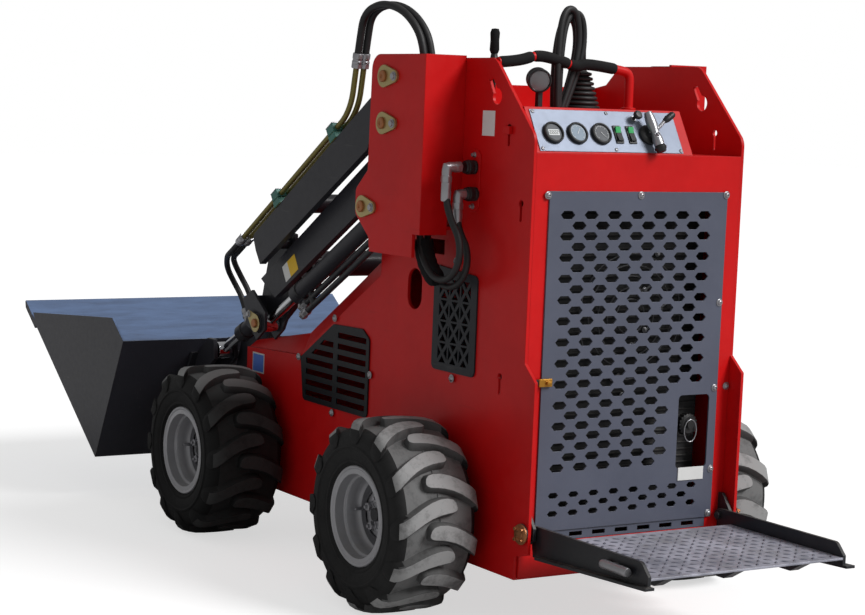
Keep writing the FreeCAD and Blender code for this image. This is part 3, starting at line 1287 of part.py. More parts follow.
TILT_AIM = Vector(value("tilt_eye_x - tilt_base_x"), 0, value("tilt_eye_z - tilt_base_z")).normalize()
TILT_UP = Vector(-TILT_AIM.z, 0, TILT_AIM.x)
tilt_foot = Vector(value("tilt_base_x"), value("tilt_y"), value("tilt_base_z"))
tilt_pair = []
for offset, along in ((Vector(), 340), (ACROSS, 296)):
    start = line_front + EDGE * (FERRULE + SEAT) + offset
    end = tilt_foot + TILT_AIM * along + TILT_UP * (value("barrel_radius") + SEAT)
    top = end + TILT_UP * 60
    tilt_pair.append(hose("tilt_hoses", [
        start,
        start + EDGE * 56,
        start + EDGE * 112 + Vector(6, -16, 16),
        top + Vector(-14, 62, 92),
        top + Vector(18, 22, 48),
        top,
        end], hose_radius))
node(add_shape("tilt_hoses", Part.makeCompound(tilt_pair)))

doc.recompute()

# --------------------------------------------------------------------------------------
# Check every object, then write the files
# --------------------------------------------------------------------------------------

for item in doc.Objects:
    if "Invalid" in item.State or "Error" in item.State:
        raise RuntimeError("%s is in state %s" % (item.Label, item.State))
for item in NODES:
    if item.Shape.isNull() or not item.Shape.isValid():
        raise RuntimeError("%s has no valid shape" % item.Label)
os.makedirs("parts", exist_ok=True)
for item in NODES:
    item.Shape.exportStep("parts/%s.step" % item.Label)
print(len(NODES), "sub-parts written")
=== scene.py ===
"""Looks of the mini wheel loader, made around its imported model."""

import json
import math

import bmesh
import bpy
from mathutils import Matrix, Vector


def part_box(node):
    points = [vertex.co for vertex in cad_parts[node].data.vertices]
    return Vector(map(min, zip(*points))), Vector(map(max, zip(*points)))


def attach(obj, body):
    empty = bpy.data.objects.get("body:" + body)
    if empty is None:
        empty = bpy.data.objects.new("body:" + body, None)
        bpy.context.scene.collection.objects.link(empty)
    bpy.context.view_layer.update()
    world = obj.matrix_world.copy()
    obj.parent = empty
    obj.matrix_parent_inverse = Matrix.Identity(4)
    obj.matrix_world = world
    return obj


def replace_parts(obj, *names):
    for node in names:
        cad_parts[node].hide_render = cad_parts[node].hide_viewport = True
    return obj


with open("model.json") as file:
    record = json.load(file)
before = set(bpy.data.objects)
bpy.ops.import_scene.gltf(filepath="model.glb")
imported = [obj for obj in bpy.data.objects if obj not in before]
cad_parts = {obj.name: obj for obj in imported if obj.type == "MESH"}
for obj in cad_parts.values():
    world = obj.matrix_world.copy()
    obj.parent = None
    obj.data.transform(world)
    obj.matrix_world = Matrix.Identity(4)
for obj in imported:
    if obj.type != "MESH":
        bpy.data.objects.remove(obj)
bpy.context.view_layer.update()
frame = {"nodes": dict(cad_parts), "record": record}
NODES = frame["nodes"]

# ------------ places and sizes

MM = 0.001
FORWARD, LEFT, UP = Vector((1, 0, 0)), Vector((0, 1, 0)), Vector((0, 0, 1))
BACK = Vector((-1, 0, 0))


def middle_x(node):
    low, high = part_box(node)
    return (low.x + high.x) / 2


# The machine's own datum, on the floor under the rear axle, lies this far from the frame's origin
DATUM_X = middle_x("rear_left_rim")
WHEELBASE = middle_x("front_left_rim") - DATUM_X

# From here on, places are in millimetres from the datum: forward, left and up
SIDE_FACE = 295
COVER_FACE = 299
REAR_FACE = -311
GRILLE_FACE = -315
CONSOLE_TOP = 1166
TOWER_PINS = ((135, 1225), (135, 1117), (215, 919))
KNUCKLE_PIN = (795, 575)


def at(x, y, z):
    """A place on the machine in millimetres forward, left and up from the datum."""
    return Vector((DATUM_X + x * MM, y * MM, z * MM))


def mirrored(place, side):
    """A place on the left, or its match on the right where the side is -1."""
    return Vector((place.x, side * place.y, place.z))


def between(low, high, count):
    """Places evenly spread from one to the other, both included."""
    return [low.lerp(high, step / count) for step in range(count + 1)]


def arc(across, upward, radius, first, spread, count):
    """Points of an outline on a circle, from the first angle on, in degrees."""
    turns = [math.radians(first + spread * step) for step in range(count)]
    return [(across + radius * math.cos(turn), upward + radius * math.sin(turn)) for turn in turns]


# ------------ camera, light and floor

LENS, SENSOR = 84.46, 36.0
SHIFT_X, SHIFT_Y = 0.1518, 0.0155
YAW, PITCH, ROLL = map(math.radians, (-29.31, -6.26, 1.85))
EYE = at(-3899.7, 2871.5, 1168.0)
ROOM_LEVEL = 0.30
KEY_TOWARDS, KEY_STRENGTH, KEY_SPREAD = Vector((0.66, 0.42, -0.62)), 2.6, math.radians(24)
FLOOR_GREY, FLOOR_GLOW = 0.55, 0.62


def place_camera():
    """The view from behind on the left."""
    data = bpy.data.cameras.new("camera")
    data.lens = LENS
    data.sensor_width = SENSOR
    data.shift_x = SHIFT_X
    data.shift_y = SHIFT_Y
    data.dof.use_dof = False
    camera = bpy.data.objects.new("camera", data)
    forward = Vector((math.cos(PITCH) * math.cos(YAW), math.cos(PITCH) * math.sin(YAW), math.sin(PITCH)))
    right = forward.cross(UP).normalized()
    up = right.cross(forward)
    turned_right = right * math.cos(ROLL) + up * math.sin(ROLL)
    turned_up = turned_right.cross(forward)
    basis = Matrix((turned_right, turned_up, -forward)).transposed()
    camera.matrix_world = Matrix.Translation(EYE) @ basis.to_4x4()
    bpy.context.scene.collection.objects.link(camera)
    bpy.context.scene.camera = camera


def light_room():
    """A bright room, darker to the machine than to the camera, and a soft key from behind on the right."""
    world = bpy.data.worlds.new("room")
    bpy.context.scene.world = world
    world.use_nodes = True
    sky = world.node_tree.nodes["Background"]
    sky.inputs["Color"].default_value = (1, 1, 1, 1)
    seen = add_node(world.node_tree, "LightPath").outputs["Is Camera Ray"]
    world.node_tree.links.new(remap(world.node_tree, seen, 0, 1, ROOM_LEVEL), sky.inputs["Strength"])
    data = bpy.data.lights.new("key", "SUN")
    data.energy = KEY_STRENGTH
    data.angle = KEY_SPREAD
    key = bpy.data.objects.new("key", data)
    key.rotation_euler = KEY_TOWARDS.to_track_quat("-Z", "Y").to_euler()
    bpy.context.scene.collection.objects.link(key)
    bpy.context.scene.view_settings.view_transform = "Standard"


def lay_floor():
    """The floor, which is no piece of the machine."""
    bpy.ops.mesh.primitive_plane_add(size=60, location=(0, 0, 0))
    floor = bpy.context.object
    floor.name = "floor"
    floor.data.materials.append(MATERIALS["pale_floor"])


# ------------ shader groups


def add_node(tree, kind, inputs=None, **settings):
    """A shader node with its settings, and its inputs given as constants or as other nodes' outputs."""
    item = tree.nodes.new("ShaderNode" + kind)
    for name, setting in settings.items():
        setattr(item, name, setting)
    for key, source in (inputs or {}).items():
        if isinstance(source, bpy.types.NodeSocket):
            tree.links.new(source, item.inputs[key])
        else:
            item.inputs[key].default_value = source
    return item


def reckon(tree, operation, one, two, clamp=False):
    """A sum of two values, as a shader node."""
    return add_node(tree, "Math", {0: one, 1: two}, operation=operation, use_clamp=clamp).outputs[0]


def times(tree, one, two, clamp=False):
    return reckon(tree, "MULTIPLY", one, two, clamp)


def remap(tree, source, low, high, to_low=0.0, to_high=1.0):
    """The source's run from low to high, stretched to another run and held at its ends."""
    return add_node(tree, "MapRange", {0: source, 1: low, 2: high, 3: to_low, 4: to_high}).outputs[0]


def noise(tree, place, scale, detail, roughness=0.5):
    """Cloudy noise around the place, of 0 to 1."""
    inputs = {"Vector": place, "Scale": scale, "Detail": detail, "Roughness": roughness}
    return add_node(tree, "TexNoise", inputs).outputs[0]


def object_place(tree):
    return add_node(tree, "TexCoord").outputs["Object"]


def stretched(tree, place, scale, turn=(0, 0, 0)):
    return add_node(tree, "Mapping", {"Vector": place, "Rotation": turn, "Scale": scale}).outputs[0]


def component(tree, source, axis):
    return add_node(tree, "SeparateXYZ", {0: source}).outputs[axis]


def mix_colours(tree, share, one, two, kind="MIX"):
    """The first colour, with its share of the second laid over it."""
    item = add_node(tree, "Mix", {0: share, 6: one, 7: two}, data_type="RGBA", blend_type=kind)
    return item.outputs[2]


def new_group(name, inputs, outputs):
    """A shader group; its inputs are (name, kind, default) and its outputs (name, kind)."""
    group = bpy.data.node_groups.new(name, "ShaderNodeTree")
    for label, kind, default in inputs:
        socket = group.interface.new_socket(label, in_out="INPUT", socket_type="NodeSocket" + kind)
        socket.default_value = default
    for label, kind in outputs:
        group.interface.new_socket(label, in_out="OUTPUT", socket_type="NodeSocket" + kind)
    return group, group.nodes.new("NodeGroupInput").outputs, group.nodes.new("NodeGroupOutput").inputs


def build_weathering():
    """Tone, worn edges, fine scratches, dust on what faces up, and a fine grain, for any finish."""
    group, into, out = new_group(
        "weathering",
        [("Colour", "Color", (0.5, 0.5, 0.5, 1)), ("Bare", "Color", (0.3, 0.3, 0.3, 1)),
         ("Roughness", "Float", 0.4), ("Wear", "Float", 0.4), ("Dust", "Float", 0.3),
         ("Grain", "Float", 0.3), ("Grain Scale", "Float", 700.0), ("Edge Width", "Float", 0.002)],
        [("Colour", "Color"), ("Roughness", "Float"), ("Normal", "Vector")])
    place = object_place(group)
    broad = noise(group, place, 5.0, 5.0, 0.6)
    fine = noise(group, place, 60.0, 6.0, 0.65)
    grain = noise(group, place, into["Grain Scale"], 3.0)
    streak = noise(group, stretched(group, place, (6, 420, 60), (0.5, 0.3, 0.9)), 1.0, 3.0)
    # worn edges, where a rounded normal leaves the flat one
    rounded = add_node(group, "Bevel", {"Radius": into["Edge Width"]}, samples=4).outputs[0]
    flat = add_node(group, "NewGeometry").outputs["Normal"]
    facing = add_node(group, "VectorMath", {0: rounded, 1: flat}, operation="DOT_PRODUCT").outputs["Value"]
    edge = times(group, reckon(group, "SUBTRACT", 1.0, facing), 9.0, clamp=True)
    edge = times(group, edge, remap(group, fine, 0.42, 0.62))
    scratch = times(group, remap(group, streak, 0.69, 0.74), 0.35)
    worn = times(group, reckon(group, "MAXIMUM", edge, scratch), into["Wear"], clamp=True)
    # dust settles on what faces up, and is thrown up low down
    level = remap(group, component(group, flat, 2), 0.1, 0.95, 0.12)
    low = remap(group, component(group, place, 2), 0.75, 0.1, 0.35)
    patches = remap(group, times(group, broad, fine), 0.16, 0.36)
    dust = times(group, times(group, level, low), patches)
    dust = times(group, dust, into["Dust"], clamp=True)
    tone = remap(group, broad, 0.3, 0.7, 0.86, 1.06)
    tone = add_node(group, "CombineColor", {0: tone, 1: tone, 2: tone}).outputs[0]
    colour = mix_colours(group, 1.0, into["Colour"], tone, "MULTIPLY")
    colour = mix_colours(group, worn, colour, into["Bare"])
    colour = mix_colours(group, dust, colour, (0.32, 0.29, 0.25, 1))
    mottle = times(group, reckon(group, "SUBTRACT", fine, 0.5), 0.25)
    rough = reckon(group, "ADD", into["Roughness"], mottle)
    rough = reckon(group, "ADD", rough, times(group, dust, 0.4), clamp=True)
    relief = reckon(group, "SUBTRACT", grain, times(group, worn, 0.8))
    bump = add_node(group, "Bump", {"Strength": into["Grain"], "Distance": 0.0006, "Height": relief,
                                    "Normal": rounded})
    for name, source in (("Colour", colour), ("Roughness", rough), ("Normal", bump.outputs[0])):
        group.links.new(source, out[name])
    return group


# ------------ finishes

WEATHERING = build_weathering()
MATERIALS = {}

# Each finish: name, colour and bare colour of 0 to 255, roughness, metal, wear, dust, grain, and what
# else differs from the usual
FINISHES = (
    ("red_paint", (208, 14, 16), (96, 20, 14), 0.42, 0, 0.22, 0.12, 0.15,
     {"grain_scale": 420, "edge": 0.0025, "coat": 0.03, "gloss": 0.22}),
    ("dark_paint", (44, 44, 50), (120, 118, 112), 0.40, 0, 0.3, 0.12, 0.22, {"coat": 0.05, "gloss": 0.3}),
    ("grey_paint", (84, 88, 104), (150, 148, 144), 0.38, 0, 0.3, 0.15, 0.2, {"edge": 0.0012}),
    ("vent_paint", (34, 36, 42), (110, 108, 104), 0.45, 0, 0.3, 0.1, 0.25, {"edge": 0.0012, "gloss": 0.3}),
    ("louvre_paint", (20, 22, 27), (80, 78, 74), 0.42, 0, 0.2, 0.06, 0.25, {"edge": 0.0012, "gloss": 0.3}),
    ("black_paint", (26, 28, 34), (110, 106, 100), 0.42, 0, 0.4, 0.35, 0.3, {}),
    ("rim_paint", (172, 172, 176), (96, 92, 88), 0.34, 0.35, 0.3, 0.5, 0.25, {}),
    # the disc paint is the rim paint darkened, as painted shade on the wheel's disc; the fan guard takes it
    # too
    ("shaded_disc_paint", (98, 98, 102), (70, 68, 66), 0.42, 0.3, 0.3, 0.3, 0.3, {}),
    ("zinc", (188, 172, 120), (120, 110, 90), 0.34, 0.8, 0.3, 0.15, 0.3, {}),
    ("bright_zinc", (176, 176, 180), (110, 108, 104), 0.34, 0.85, 0.3, 0.1, 0.3, {}),
    ("olive_zinc", (128, 118, 64), (90, 82, 50), 0.36, 0.65, 0.25, 0.15, 0.2, {}),
    ("copper_pin", (176, 116, 74), (120, 90, 60), 0.38, 0.7, 0.3, 0.2, 0.3, {}),
    ("brass", (196, 140, 52), (120, 90, 40), 0.35, 0.75, 0.3, 0.1, 0.25, {}),
    ("chrome", (225, 226, 230), (150, 150, 150), 0.10, 1, 0.05, 0.05, 0.04, {}),
    ("cast", (34, 34, 36), (90, 84, 78), 0.7, 0, 0.3, 0.4, 0.8, {"grain_scale": 240}),
    ("deck_bar", (112, 113, 128), (196, 196, 204), 0.45, 0.3, 0.9, 0.2, 0.3, {}),
    ("black_plastic", (22, 22, 24), (70, 70, 70), 0.42, 0, 0.2, 0.12, 0.35,
     {"grain_scale": 1200, "edge": 0.001}),
    ("green_plastic", (40, 170, 90), (80, 120, 90), 0.3, 0, 0.1, 0.05, 0.1, {}),
    ("clamp_green", (52, 116, 104), (120, 120, 110), 0.4, 0, 0.3, 0.15, 0.2, {}),
    ("rubber", (24, 24, 26), (60, 60, 60), 0.55, 0, 0.15, 0.15, 0.35, {"grain_scale": 900}),
    ("foam", (20, 20, 22), (50, 50, 50), 0.85, 0, 0.1, 0.15, 0.9, {"grain_scale": 1500, "gloss": 0.25}),
    ("white_label", (226, 226, 224), (180, 180, 176), 0.5, 0, 0.2, 0.1, 0.1, {"edge": 0.0005}),
    ("blue_label", (84, 128, 224), (150, 165, 200), 0.45, 0, 0.3, 0.15, 0.1, {"edge": 0.0005}),
    ("yellow_label", (236, 190, 24), (160, 130, 40), 0.5, 0, 0.25, 0.1, 0.1, {"edge": 0.0005}),
    ("dial_face", (38, 46, 56), (60, 60, 60), 0.5, 0, 0, 0.1, 0.05, {"edge": 0.0005, "coat": 1.0}),
    ("pale_face", (120, 140, 158), (90, 90, 90), 0.5, 0, 0, 0.1, 0.05, {"edge": 0.0005, "coat": 1.0}),
    ("dial_mark", (225, 228, 228), (200, 200, 200), 0.5, 0, 0, 0, 0, {"edge": 0.0003}),
    ("label_ink", (40, 40, 44), (80, 80, 80), 0.6, 0, 0, 0, 0, {"edge": 0.0003}),
)
# Nodes whose finish is not the one of their slot
OWN_FINISH = {"side_vents": "vent_paint", "side_louvres": "louvre_paint", "auxiliary_couplers": "red_paint"}


def new_material(name):
    """An empty node material with its Principled shader."""
    material = bpy.data.materials.new(name)
    material.use_nodes = True
    MATERIALS[name] = material
    return material.node_tree, material.node_tree.nodes["Principled BSDF"]


def srgb(*colour):
    """A colour of 0 to 255 as the renderer's linear one."""
    linear = [((c / 255 + 0.055) / 1.055) ** 2.4 if c > 10 else c / 255 / 12.92 for c in colour]
    return (*linear, 1)


def weathered(name, colour, bare, rough, metal, wear, dust, grain,
              grain_scale=700, edge=0.002, coat=0.0, gloss=0.5):
    """A weathered finish; the colours are of 0 to 255, and the edge's width is in metres."""
    tree, shader = new_material(name)
    marks = add_node(tree, "Group", node_tree=WEATHERING)
    settings = {"Colour": srgb(*colour), "Bare": srgb(*bare), "Roughness": rough, "Wear": wear, "Dust": dust,
                "Grain": grain, "Grain Scale": grain_scale, "Edge Width": edge}
    for key, setting in settings.items():
        marks.inputs[key].default_value = setting
    tree.links.new(marks.outputs["Colour"], shader.inputs["Base Color"])
    for key in ("Roughness", "Normal"):
        tree.links.new(marks.outputs[key], shader.inputs[key])
    for key, setting in (("Metallic", metal), ("Coat Weight", coat), ("Coat Roughness", 0.15),
                         ("Specular IOR Level", gloss)):
        shader.inputs[key].default_value = setting
    return tree, shader, marks


def make_floor():
    """Pale floor that meets the white background, with the machine's shadow left on it."""
    tree, shader = new_material("pale_floor")
    shader.inputs["Base Color"].default_value = (FLOOR_GREY, FLOOR_GREY, FLOOR_GREY, 1)
    shader.inputs["Roughness"].default_value = 0.95
    shader.inputs["Specular IOR Level"].default_value = 0.1
    shader.inputs["Emission Color"].default_value = (1, 1, 1, 1)
    seen = add_node(tree, "LightPath").outputs["Is Camera Ray"]
    tree.links.new(times(tree, seen, FLOOR_GLOW), shader.inputs["Emission Strength"])


def make_brushed_steel():
    """Bare sheet with its brushing across the machine."""
    tree, shader, marks = weathered("steel", (132, 140, 156), (96, 100, 108), 0.40, 0.45, 0.5, 0.25, 0.12,
                                    edge=0.001, gloss=0.3)
    lines = noise(tree, stretched(tree, object_place(tree), (900, 14, 900)), 1.0, 4.0)
    bump = add_node(tree, "Bump", {"Strength": 0.3, "Distance": 0.0002, "Height": lines,
                                   "Normal": marks.outputs["Normal"]})
    tree.links.new(bump.outputs[0], shader.inputs["Normal"])


def make_bucket_paint():
    """Dark paint outside; on faces that face forward and up, a pale blue grey that paints the light on the
    inside, streaked with long scrapes.
    """
    tree, shader, marks = weathered("bucket_paint", (44, 44, 52), (140, 136, 128), 0.38, 0, 0.5, 0.12, 0.3,
                                    coat=0.05, gloss=0.35)
    # painted light: faces towards forward and up get a pale blue grey, broken by the streaks of long scrapes
    runs = noise(tree, stretched(tree, object_place(tree), (3, 5, 60)), 1.0, 7.0, 0.7)
    facing = add_node(tree, "SeparateXYZ", {0: add_node(tree, "NewGeometry").outputs["Normal"]}).outputs
    ahead = reckon(tree, "MAXIMUM", facing[0], times(tree, facing[2], 0.9))
    share = times(tree, remap(tree, ahead, 0.25, 0.6), remap(tree, runs, 0.3, 0.62, 0.6))
    lit_and_scraped = mix_colours(tree, share, marks.outputs["Colour"], srgb(96, 116, 150))
    tree.links.new(lit_and_scraped, shader.inputs["Base Color"])


def make_deck_plate():
    """The worn, dusty tread plate: paint left in the hollows, bare where feet rub."""
    tree, shader, marks = weathered("worn_deck", (146, 147, 160), (186, 186, 190), 0.5, 0.2, 0.8, 0.35, 0.5,
                                    grain_scale=500, edge=0.003)
    share = remap(tree, noise(tree, object_place(tree), 9.0, 8.0, 0.7), 0.42, 0.6)
    rubbed = mix_colours(tree, share, marks.outputs["Colour"], srgb(186, 186, 200))
    tree.links.new(rubbed, shader.inputs["Base Color"])


def make_tyre_rubber():
    """Black rubber, dusty on the tread's faces, more so on the rear wheels; the lugs' tops are lighter still,
    partly from a painted highlight, and on the front tyres the uppermost lugs carry a painted highlight.
    """
    for name, dust in (("tyre", 0.12), ("dusty_tyre", 1.0)):
        tree, shader, marks = weathered(name, (13, 13, 14), (40, 40, 40), 0.66, 0, 0.2, 0.04, 0.6,
                                        grain_scale=420, edge=0.003, gloss=0.22)
        place = object_place(tree)
        outward = component(tree, add_node(tree, "TexCoord").outputs["UV"], 0)
        stains = remap(tree, noise(tree, place, 26.0, 7.0, 0.7), 0.25, 0.52, 0.35)
        share = times(tree, times(tree, stains, outward), dust, clamp=True)
        if name == "tyre":
            # painted highlight: the front tyres are lighter on the lugs that stand uppermost
            highlit_crown = remap(tree, component(tree, place, 2), 0.37, 0.43)
            share = reckon(tree, "MAXIMUM", share, times(tree, highlit_crown, outward))
        dust_and_highlight = mix_colours(tree, share, marks.outputs["Colour"], srgb(150, 150, 150))
        tree.links.new(dust_and_highlight, shader.inputs["Base Color"])


def make_glass():
    """Clear glass with faint smears."""
    tree, shader = new_material("lens_glass")
    shader.inputs["Base Color"].default_value = (0.9, 0.92, 0.95, 1)
    shader.inputs["Transmission Weight"].default_value = 0.9
    smears = add_node(tree, "TexNoise", {"Scale": 90.0, "Detail": 4.0}).outputs[0]
    tree.links.new(remap(tree, smears, 0.4, 0.7, 0.03, 0.16), shader.inputs["Roughness"])


def make_materials():
    for *row, others in FINISHES:
        weathered(*row, **others)
    make_floor()
    make_brushed_steel()
    make_bucket_paint()
    make_deck_plate()
    make_tyre_rubber()
    make_glass()


def dress_nodes():
    """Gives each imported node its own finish, or else the one of its material slot."""
    for part in frame["record"]["subparts"]:
        item = NODES[part["node"]]
        material = MATERIALS[OWN_FINISH.get(part["node"], part["material_slot"])]
        for slot in item.material_slots:
            slot.material = material
        if not item.material_slots:
            item.data.materials.append(material)


# ------------ shaping


# Turned profiles of a bolt: shares of its radius, and millimetres along its axis
WASHER = ((0, 0), (1.35, 0), (1.35, 1.4), (1, 1.6), (0, 1.6))
BOLT_HEADS = {
    "hex": ((1, 1.4), (1, 5.2), (0.88, 6), (0, 6)),
    "dome": ((1, 1.4), (0.97, 2.6), (0.8, 4.6), (0.45, 6), (0.32, 6.2), (0.32, 4.2), (0, 4.2)),
    "socket": ((0.85, 1.4), (0.85, 7.4), (0.75, 8), (0.42, 8), (0.42, 4), (0, 4)),
}


class Shape:
    """Gathers solids in one mesh, which takes one finish and rides on one body."""

    def __init__(self, name, finish, body="chassis"):
        self.name, self.finish, self.body = name, finish, body
        self.mesh = bmesh.new()

    def ring(self, centre, side, other, radius, steps):
        """Vertices round the centre, or a single one where the radius is none."""
        if radius == 0:
            return [self.mesh.verts.new(centre)]
        return [self.mesh.verts.new(centre + (side * math.cos(turn) + other * math.sin(turn)) * radius * MM)
                for turn in (2 * math.pi * step / steps for step in range(steps))]

    def skin(self, rings):
        """Faces between each ring and the next; a ring of one vertex closes an end."""
        for low, high in zip(rings, rings[1:]):
            steps = max(len(low), len(high))
            for step in range(steps):
                after = (step + 1) % steps
                corners = [low[step % len(low)], low[after % len(low)], high[after % len(high)],
                           high[step % len(high)]]
                corners = list(dict.fromkeys(corners))
                if len(corners) > 2:
                    self.mesh.faces.new(corners)

    def lathe(self, profile, foot, axis, steps=28):
        """A turned form; the profile is (radius, distance along the axis) in millimetres."""
        axis = Vector(axis).normalized()
        side = axis.orthogonal().normalized()
        other = axis.cross(side)
        self.skin([self.ring(foot + axis * along * MM, side, other, radius, steps)
                   for radius, along in profile])
        return self

    def drum(self, radius, low, high, foot, axis, steps=28):
        """A closed cylinder from low to high along the axis."""
        return self.lathe([(0, low), (radius, low), (radius, high), (0, high)], foot, axis, steps)

    def prism(self, outline, foot, across, upward, depth):
        """A plate with its outline across and upward from the foot; its depth runs along across x upward."""
        across, upward = Vector(across).normalized(), Vector(upward).normalized()
        through = across.cross(upward) * depth * MM
        near = [self.mesh.verts.new(foot + (across * u + upward * v) * MM) for u, v in outline]
        far = [self.mesh.verts.new(vertex.co + through) for vertex in near]
        self.mesh.faces.new(near)
        self.mesh.faces.new(far[::-1])
        for step in range(len(near)):
            after = (step + 1) % len(near)
            self.mesh.faces.new([near[step], far[step], far[after], near[after]])
        return self

    def plate(self, corners, foot, across, upward, depth):
        """An oblong prism; its corners are (least across, least upward, most across, most upward)."""
        left, low, right, high = corners
        outline = [(left, low), (right, low), (right, high), (left, high)]
        return self.prism(outline, foot, across, upward, depth)

    def block(self, low, high):
        """A box between two corners in the machine's millimetres."""
        size = [most - least for least, most in zip(low, high)]
        return self.plate((0, 0, size[0], size[2]), at(low[0], high[1], low[2]), FORWARD, UP, size[1])

    def tube(self, points, radius, steps=14, ends=True):
        """A round bar or pipe along the points; the radius is one size or one for each point."""
        radii = radius if isinstance(radius, (list, tuple)) else [radius] * len(points)
        side = (points[1] - points[0]).normalized().orthogonal().normalized()
        rings = [[self.mesh.verts.new(points[0])]] if ends else []
        for step, point in enumerate(points):
            before, after = points[max(step - 1, 0)], points[min(step + 1, len(points) - 1)]
            heading = (after - before).normalized()
            side = (side - heading * side.dot(heading)).normalized()
            rings.append(self.ring(point, side, heading.cross(side), radii[step], steps))
        if ends:
            rings.append([self.mesh.verts.new(points[-1])])
        self.skin(rings)
        return self

    def bolt(self, place, axis, size=8, kind="hex"):
        """A bolt head on its washer: a hexagon, a dome or a socket cap; the size is its radius."""
        for profile, steps in ((WASHER, 24), (BOLT_HEADS[kind], 6 if kind == "hex" else 24)):
            self.lathe([(size * share, along) for share, along in profile], place, axis, steps)
        return self

    def done(self, bevel=0.0):
        """Makes the object, with its edges eased by the bevel in millimetres."""
        data = bpy.data.meshes.new(self.name)
        bmesh.ops.recalc_face_normals(self.mesh, faces=self.mesh.faces)
        self.mesh.to_mesh(data)
        self.mesh.free()
        data.shade_smooth()
        data.set_sharp_from_angle(angle=math.radians(35))
        item = bpy.data.objects.new(self.name, data)
        bpy.context.scene.collection.objects.link(item)
        data.materials.append(MATERIALS[self.finish])
        if bevel:
            ease = item.modifiers.new("eased", "BEVEL")
            ease.width = bevel * MM
            ease.segments = 2
            ease.limit_method = "ANGLE"
            ease.angle_limit = math.radians(40)
            ease.harden_normals = True
        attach(item, self.body)
        return item


# ------------ hoses

# The steel lines lie along the left link's top edge; a pair of lines is one pitch apart
ACROSS = Vector((0, -21 * MM, 0))
PAIR = (Vector(), ACROSS)
LINK_TOP, EDGE_END = at(230, 380, 1170), at(796, 380, 807)
EDGE = (EDGE_END - LINK_TOP).normalized()
EDGE_UP = Vector((-EDGE.z, 0, EDGE.x))
LINE_HEIGHT = EDGE_UP * 0.028
LINE_REAR = LINK_TOP + EDGE * 0.100 + LINE_HEIGHT
LINE_FRONT = LINK_TOP + EDGE * 0.735 + LINE_HEIGHT
RISE = Vector((-0.187, 0, 0.982)).normalized()
TOP_END = LINE_REAR + RISE * 0.112
# A hose starts this far past the end of its line, out of its sleeve
SEAT = 0.0303
ARM_BRACKET = at(58, 345, 1198)
TILT_FOOT = at(720, 272, 690)
TILT_AIM = (at(1180, 272, 452) - TILT_FOOT).normalized()
TILT_UP = Vector((-TILT_AIM.z, 0, TILT_AIM.x))
# Places of the tilt hoses' ports along the cylinder
TILT_PORTS = (0.340, 0.296)


def hose_curve(name, points, radius):
    """A smooth hose whose route's points are its control points."""
    curve = bpy.data.curves.new(name, "CURVE")
    curve.dimensions = "3D"
    curve.resolution_u = 10
    curve.bevel_depth = radius * MM
    curve.bevel_resolution = 5
    curve.use_fill_caps = True
    spline = curve.splines.new("NURBS")
    spline.points.add(len(points) - 1)
    for control, place in zip(spline.points, points):
        control.co = (*place, 1)
    spline.order_u = 3
    spline.use_endpoint_u = True
    item = bpy.data.objects.new(name, curve)
    bpy.context.scene.collection.objects.link(item)
    curve.materials.append(MATERIALS["rubber"])
    return item


def middle_line(item):
    """Places along a hose's middle, read from its spline, and the distance from the start to each."""
    bare = item.data.copy()
    bare.bevel_depth = 0
    probe = bpy.data.objects.new("probe", bare)
    line = bpy.data.meshes.new_from_object(probe)
    places = [vertex.co.copy() for vertex in line.vertices]
    bpy.data.objects.remove(probe)
    bpy.data.curves.remove(bare)
    bpy.data.meshes.remove(line)
    reached = [0]
    for before, after in zip(places, places[1:]):
        reached.append(reached[-1] + (after - before).length)
    return places, reached


def bend_through(points, count):
    """Places evenly spread along a smooth curve whose control points are given."""
    guide = hose_curve("guide", points, 0)
    places, reached = middle_line(guide)
    data = guide.data
    bpy.data.objects.remove(guide)
    bpy.data.curves.remove(data)
    spread, step = [], 0
    for number in range(count + 1):
        target = reached[-1] * number / count
        while step < len(reached) - 2 and reached[step + 1] < target:
            step += 1
        share = (target - reached[step]) / max(reached[step + 1] - reached[step], 1e-9)
        spread.append(places[step].lerp(places[step + 1], share))
    return spread


def lay_hose(name, node, points, radius, body):
    """One hose, which goes back into the machine at its far end."""
    item = hose_curve(name, points, radius)
    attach(item, body)
    if node:
        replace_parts(item, node)
    places, reached = middle_line(item)
    return places


def chain(start, *runs):
    """Points of a route: each run is (length, degrees above forward, step to the left)."""
    points = [start]
    for length, angle, step in runs:
        turn = math.radians(angle)
        points.append(points[-1] + Vector((length * math.cos(turn), step, length * math.sin(turn))) * MM)
    return points


def lay_coupler_hoses():
    """Two hoses that hang from the couplers and turn up into the tower; gives the places along each."""
    turn_up = ((56, -48, -2), (58, -8, 0), (54, 30, 0), (56, 58, 0))
    tower_foot = 878
    lines = []
    for number, (place, down) in enumerate((((-91, 373, 996), (44, 52, 50, 52)),
                                            ((-98, 345, 936), (30, 36, 36, 48)))):
        fall = zip(down, (-90, -120, -132, -95), (0, 0, -2, 0))
        points = chain(at(*place), *fall, *turn_up)
        points.append(Vector((*points[-1].xy, tower_foot * MM)))
        lines.append(lay_hose("coupler_hose_%d" % (number + 1), "coupler_hoses", points, 8, "chassis"))
    return lines


def lay_arm_hoses():
    """Two hoses that arch from the tower's bracket over to the steel lines."""
    for number, offset in enumerate(PAIR):
        start = ARM_BRACKET + offset
        end = TOP_END + RISE * SEAT + offset
        points = [start, start + UP * 0.096, Vector((at(108, 0, 0).x, (start.y + end.y) / 2, 1.370)),
                  Vector((at(196, 0, 0).x, end.y - 0.004, 1.398)),
                  end + RISE * 0.084 + Vector((-0.006, 0, 0.014)), end + RISE * 0.030, end]
        lay_hose("arm_hose_%d" % (number + 1), "arm_hoses", points, 9, "chassis")


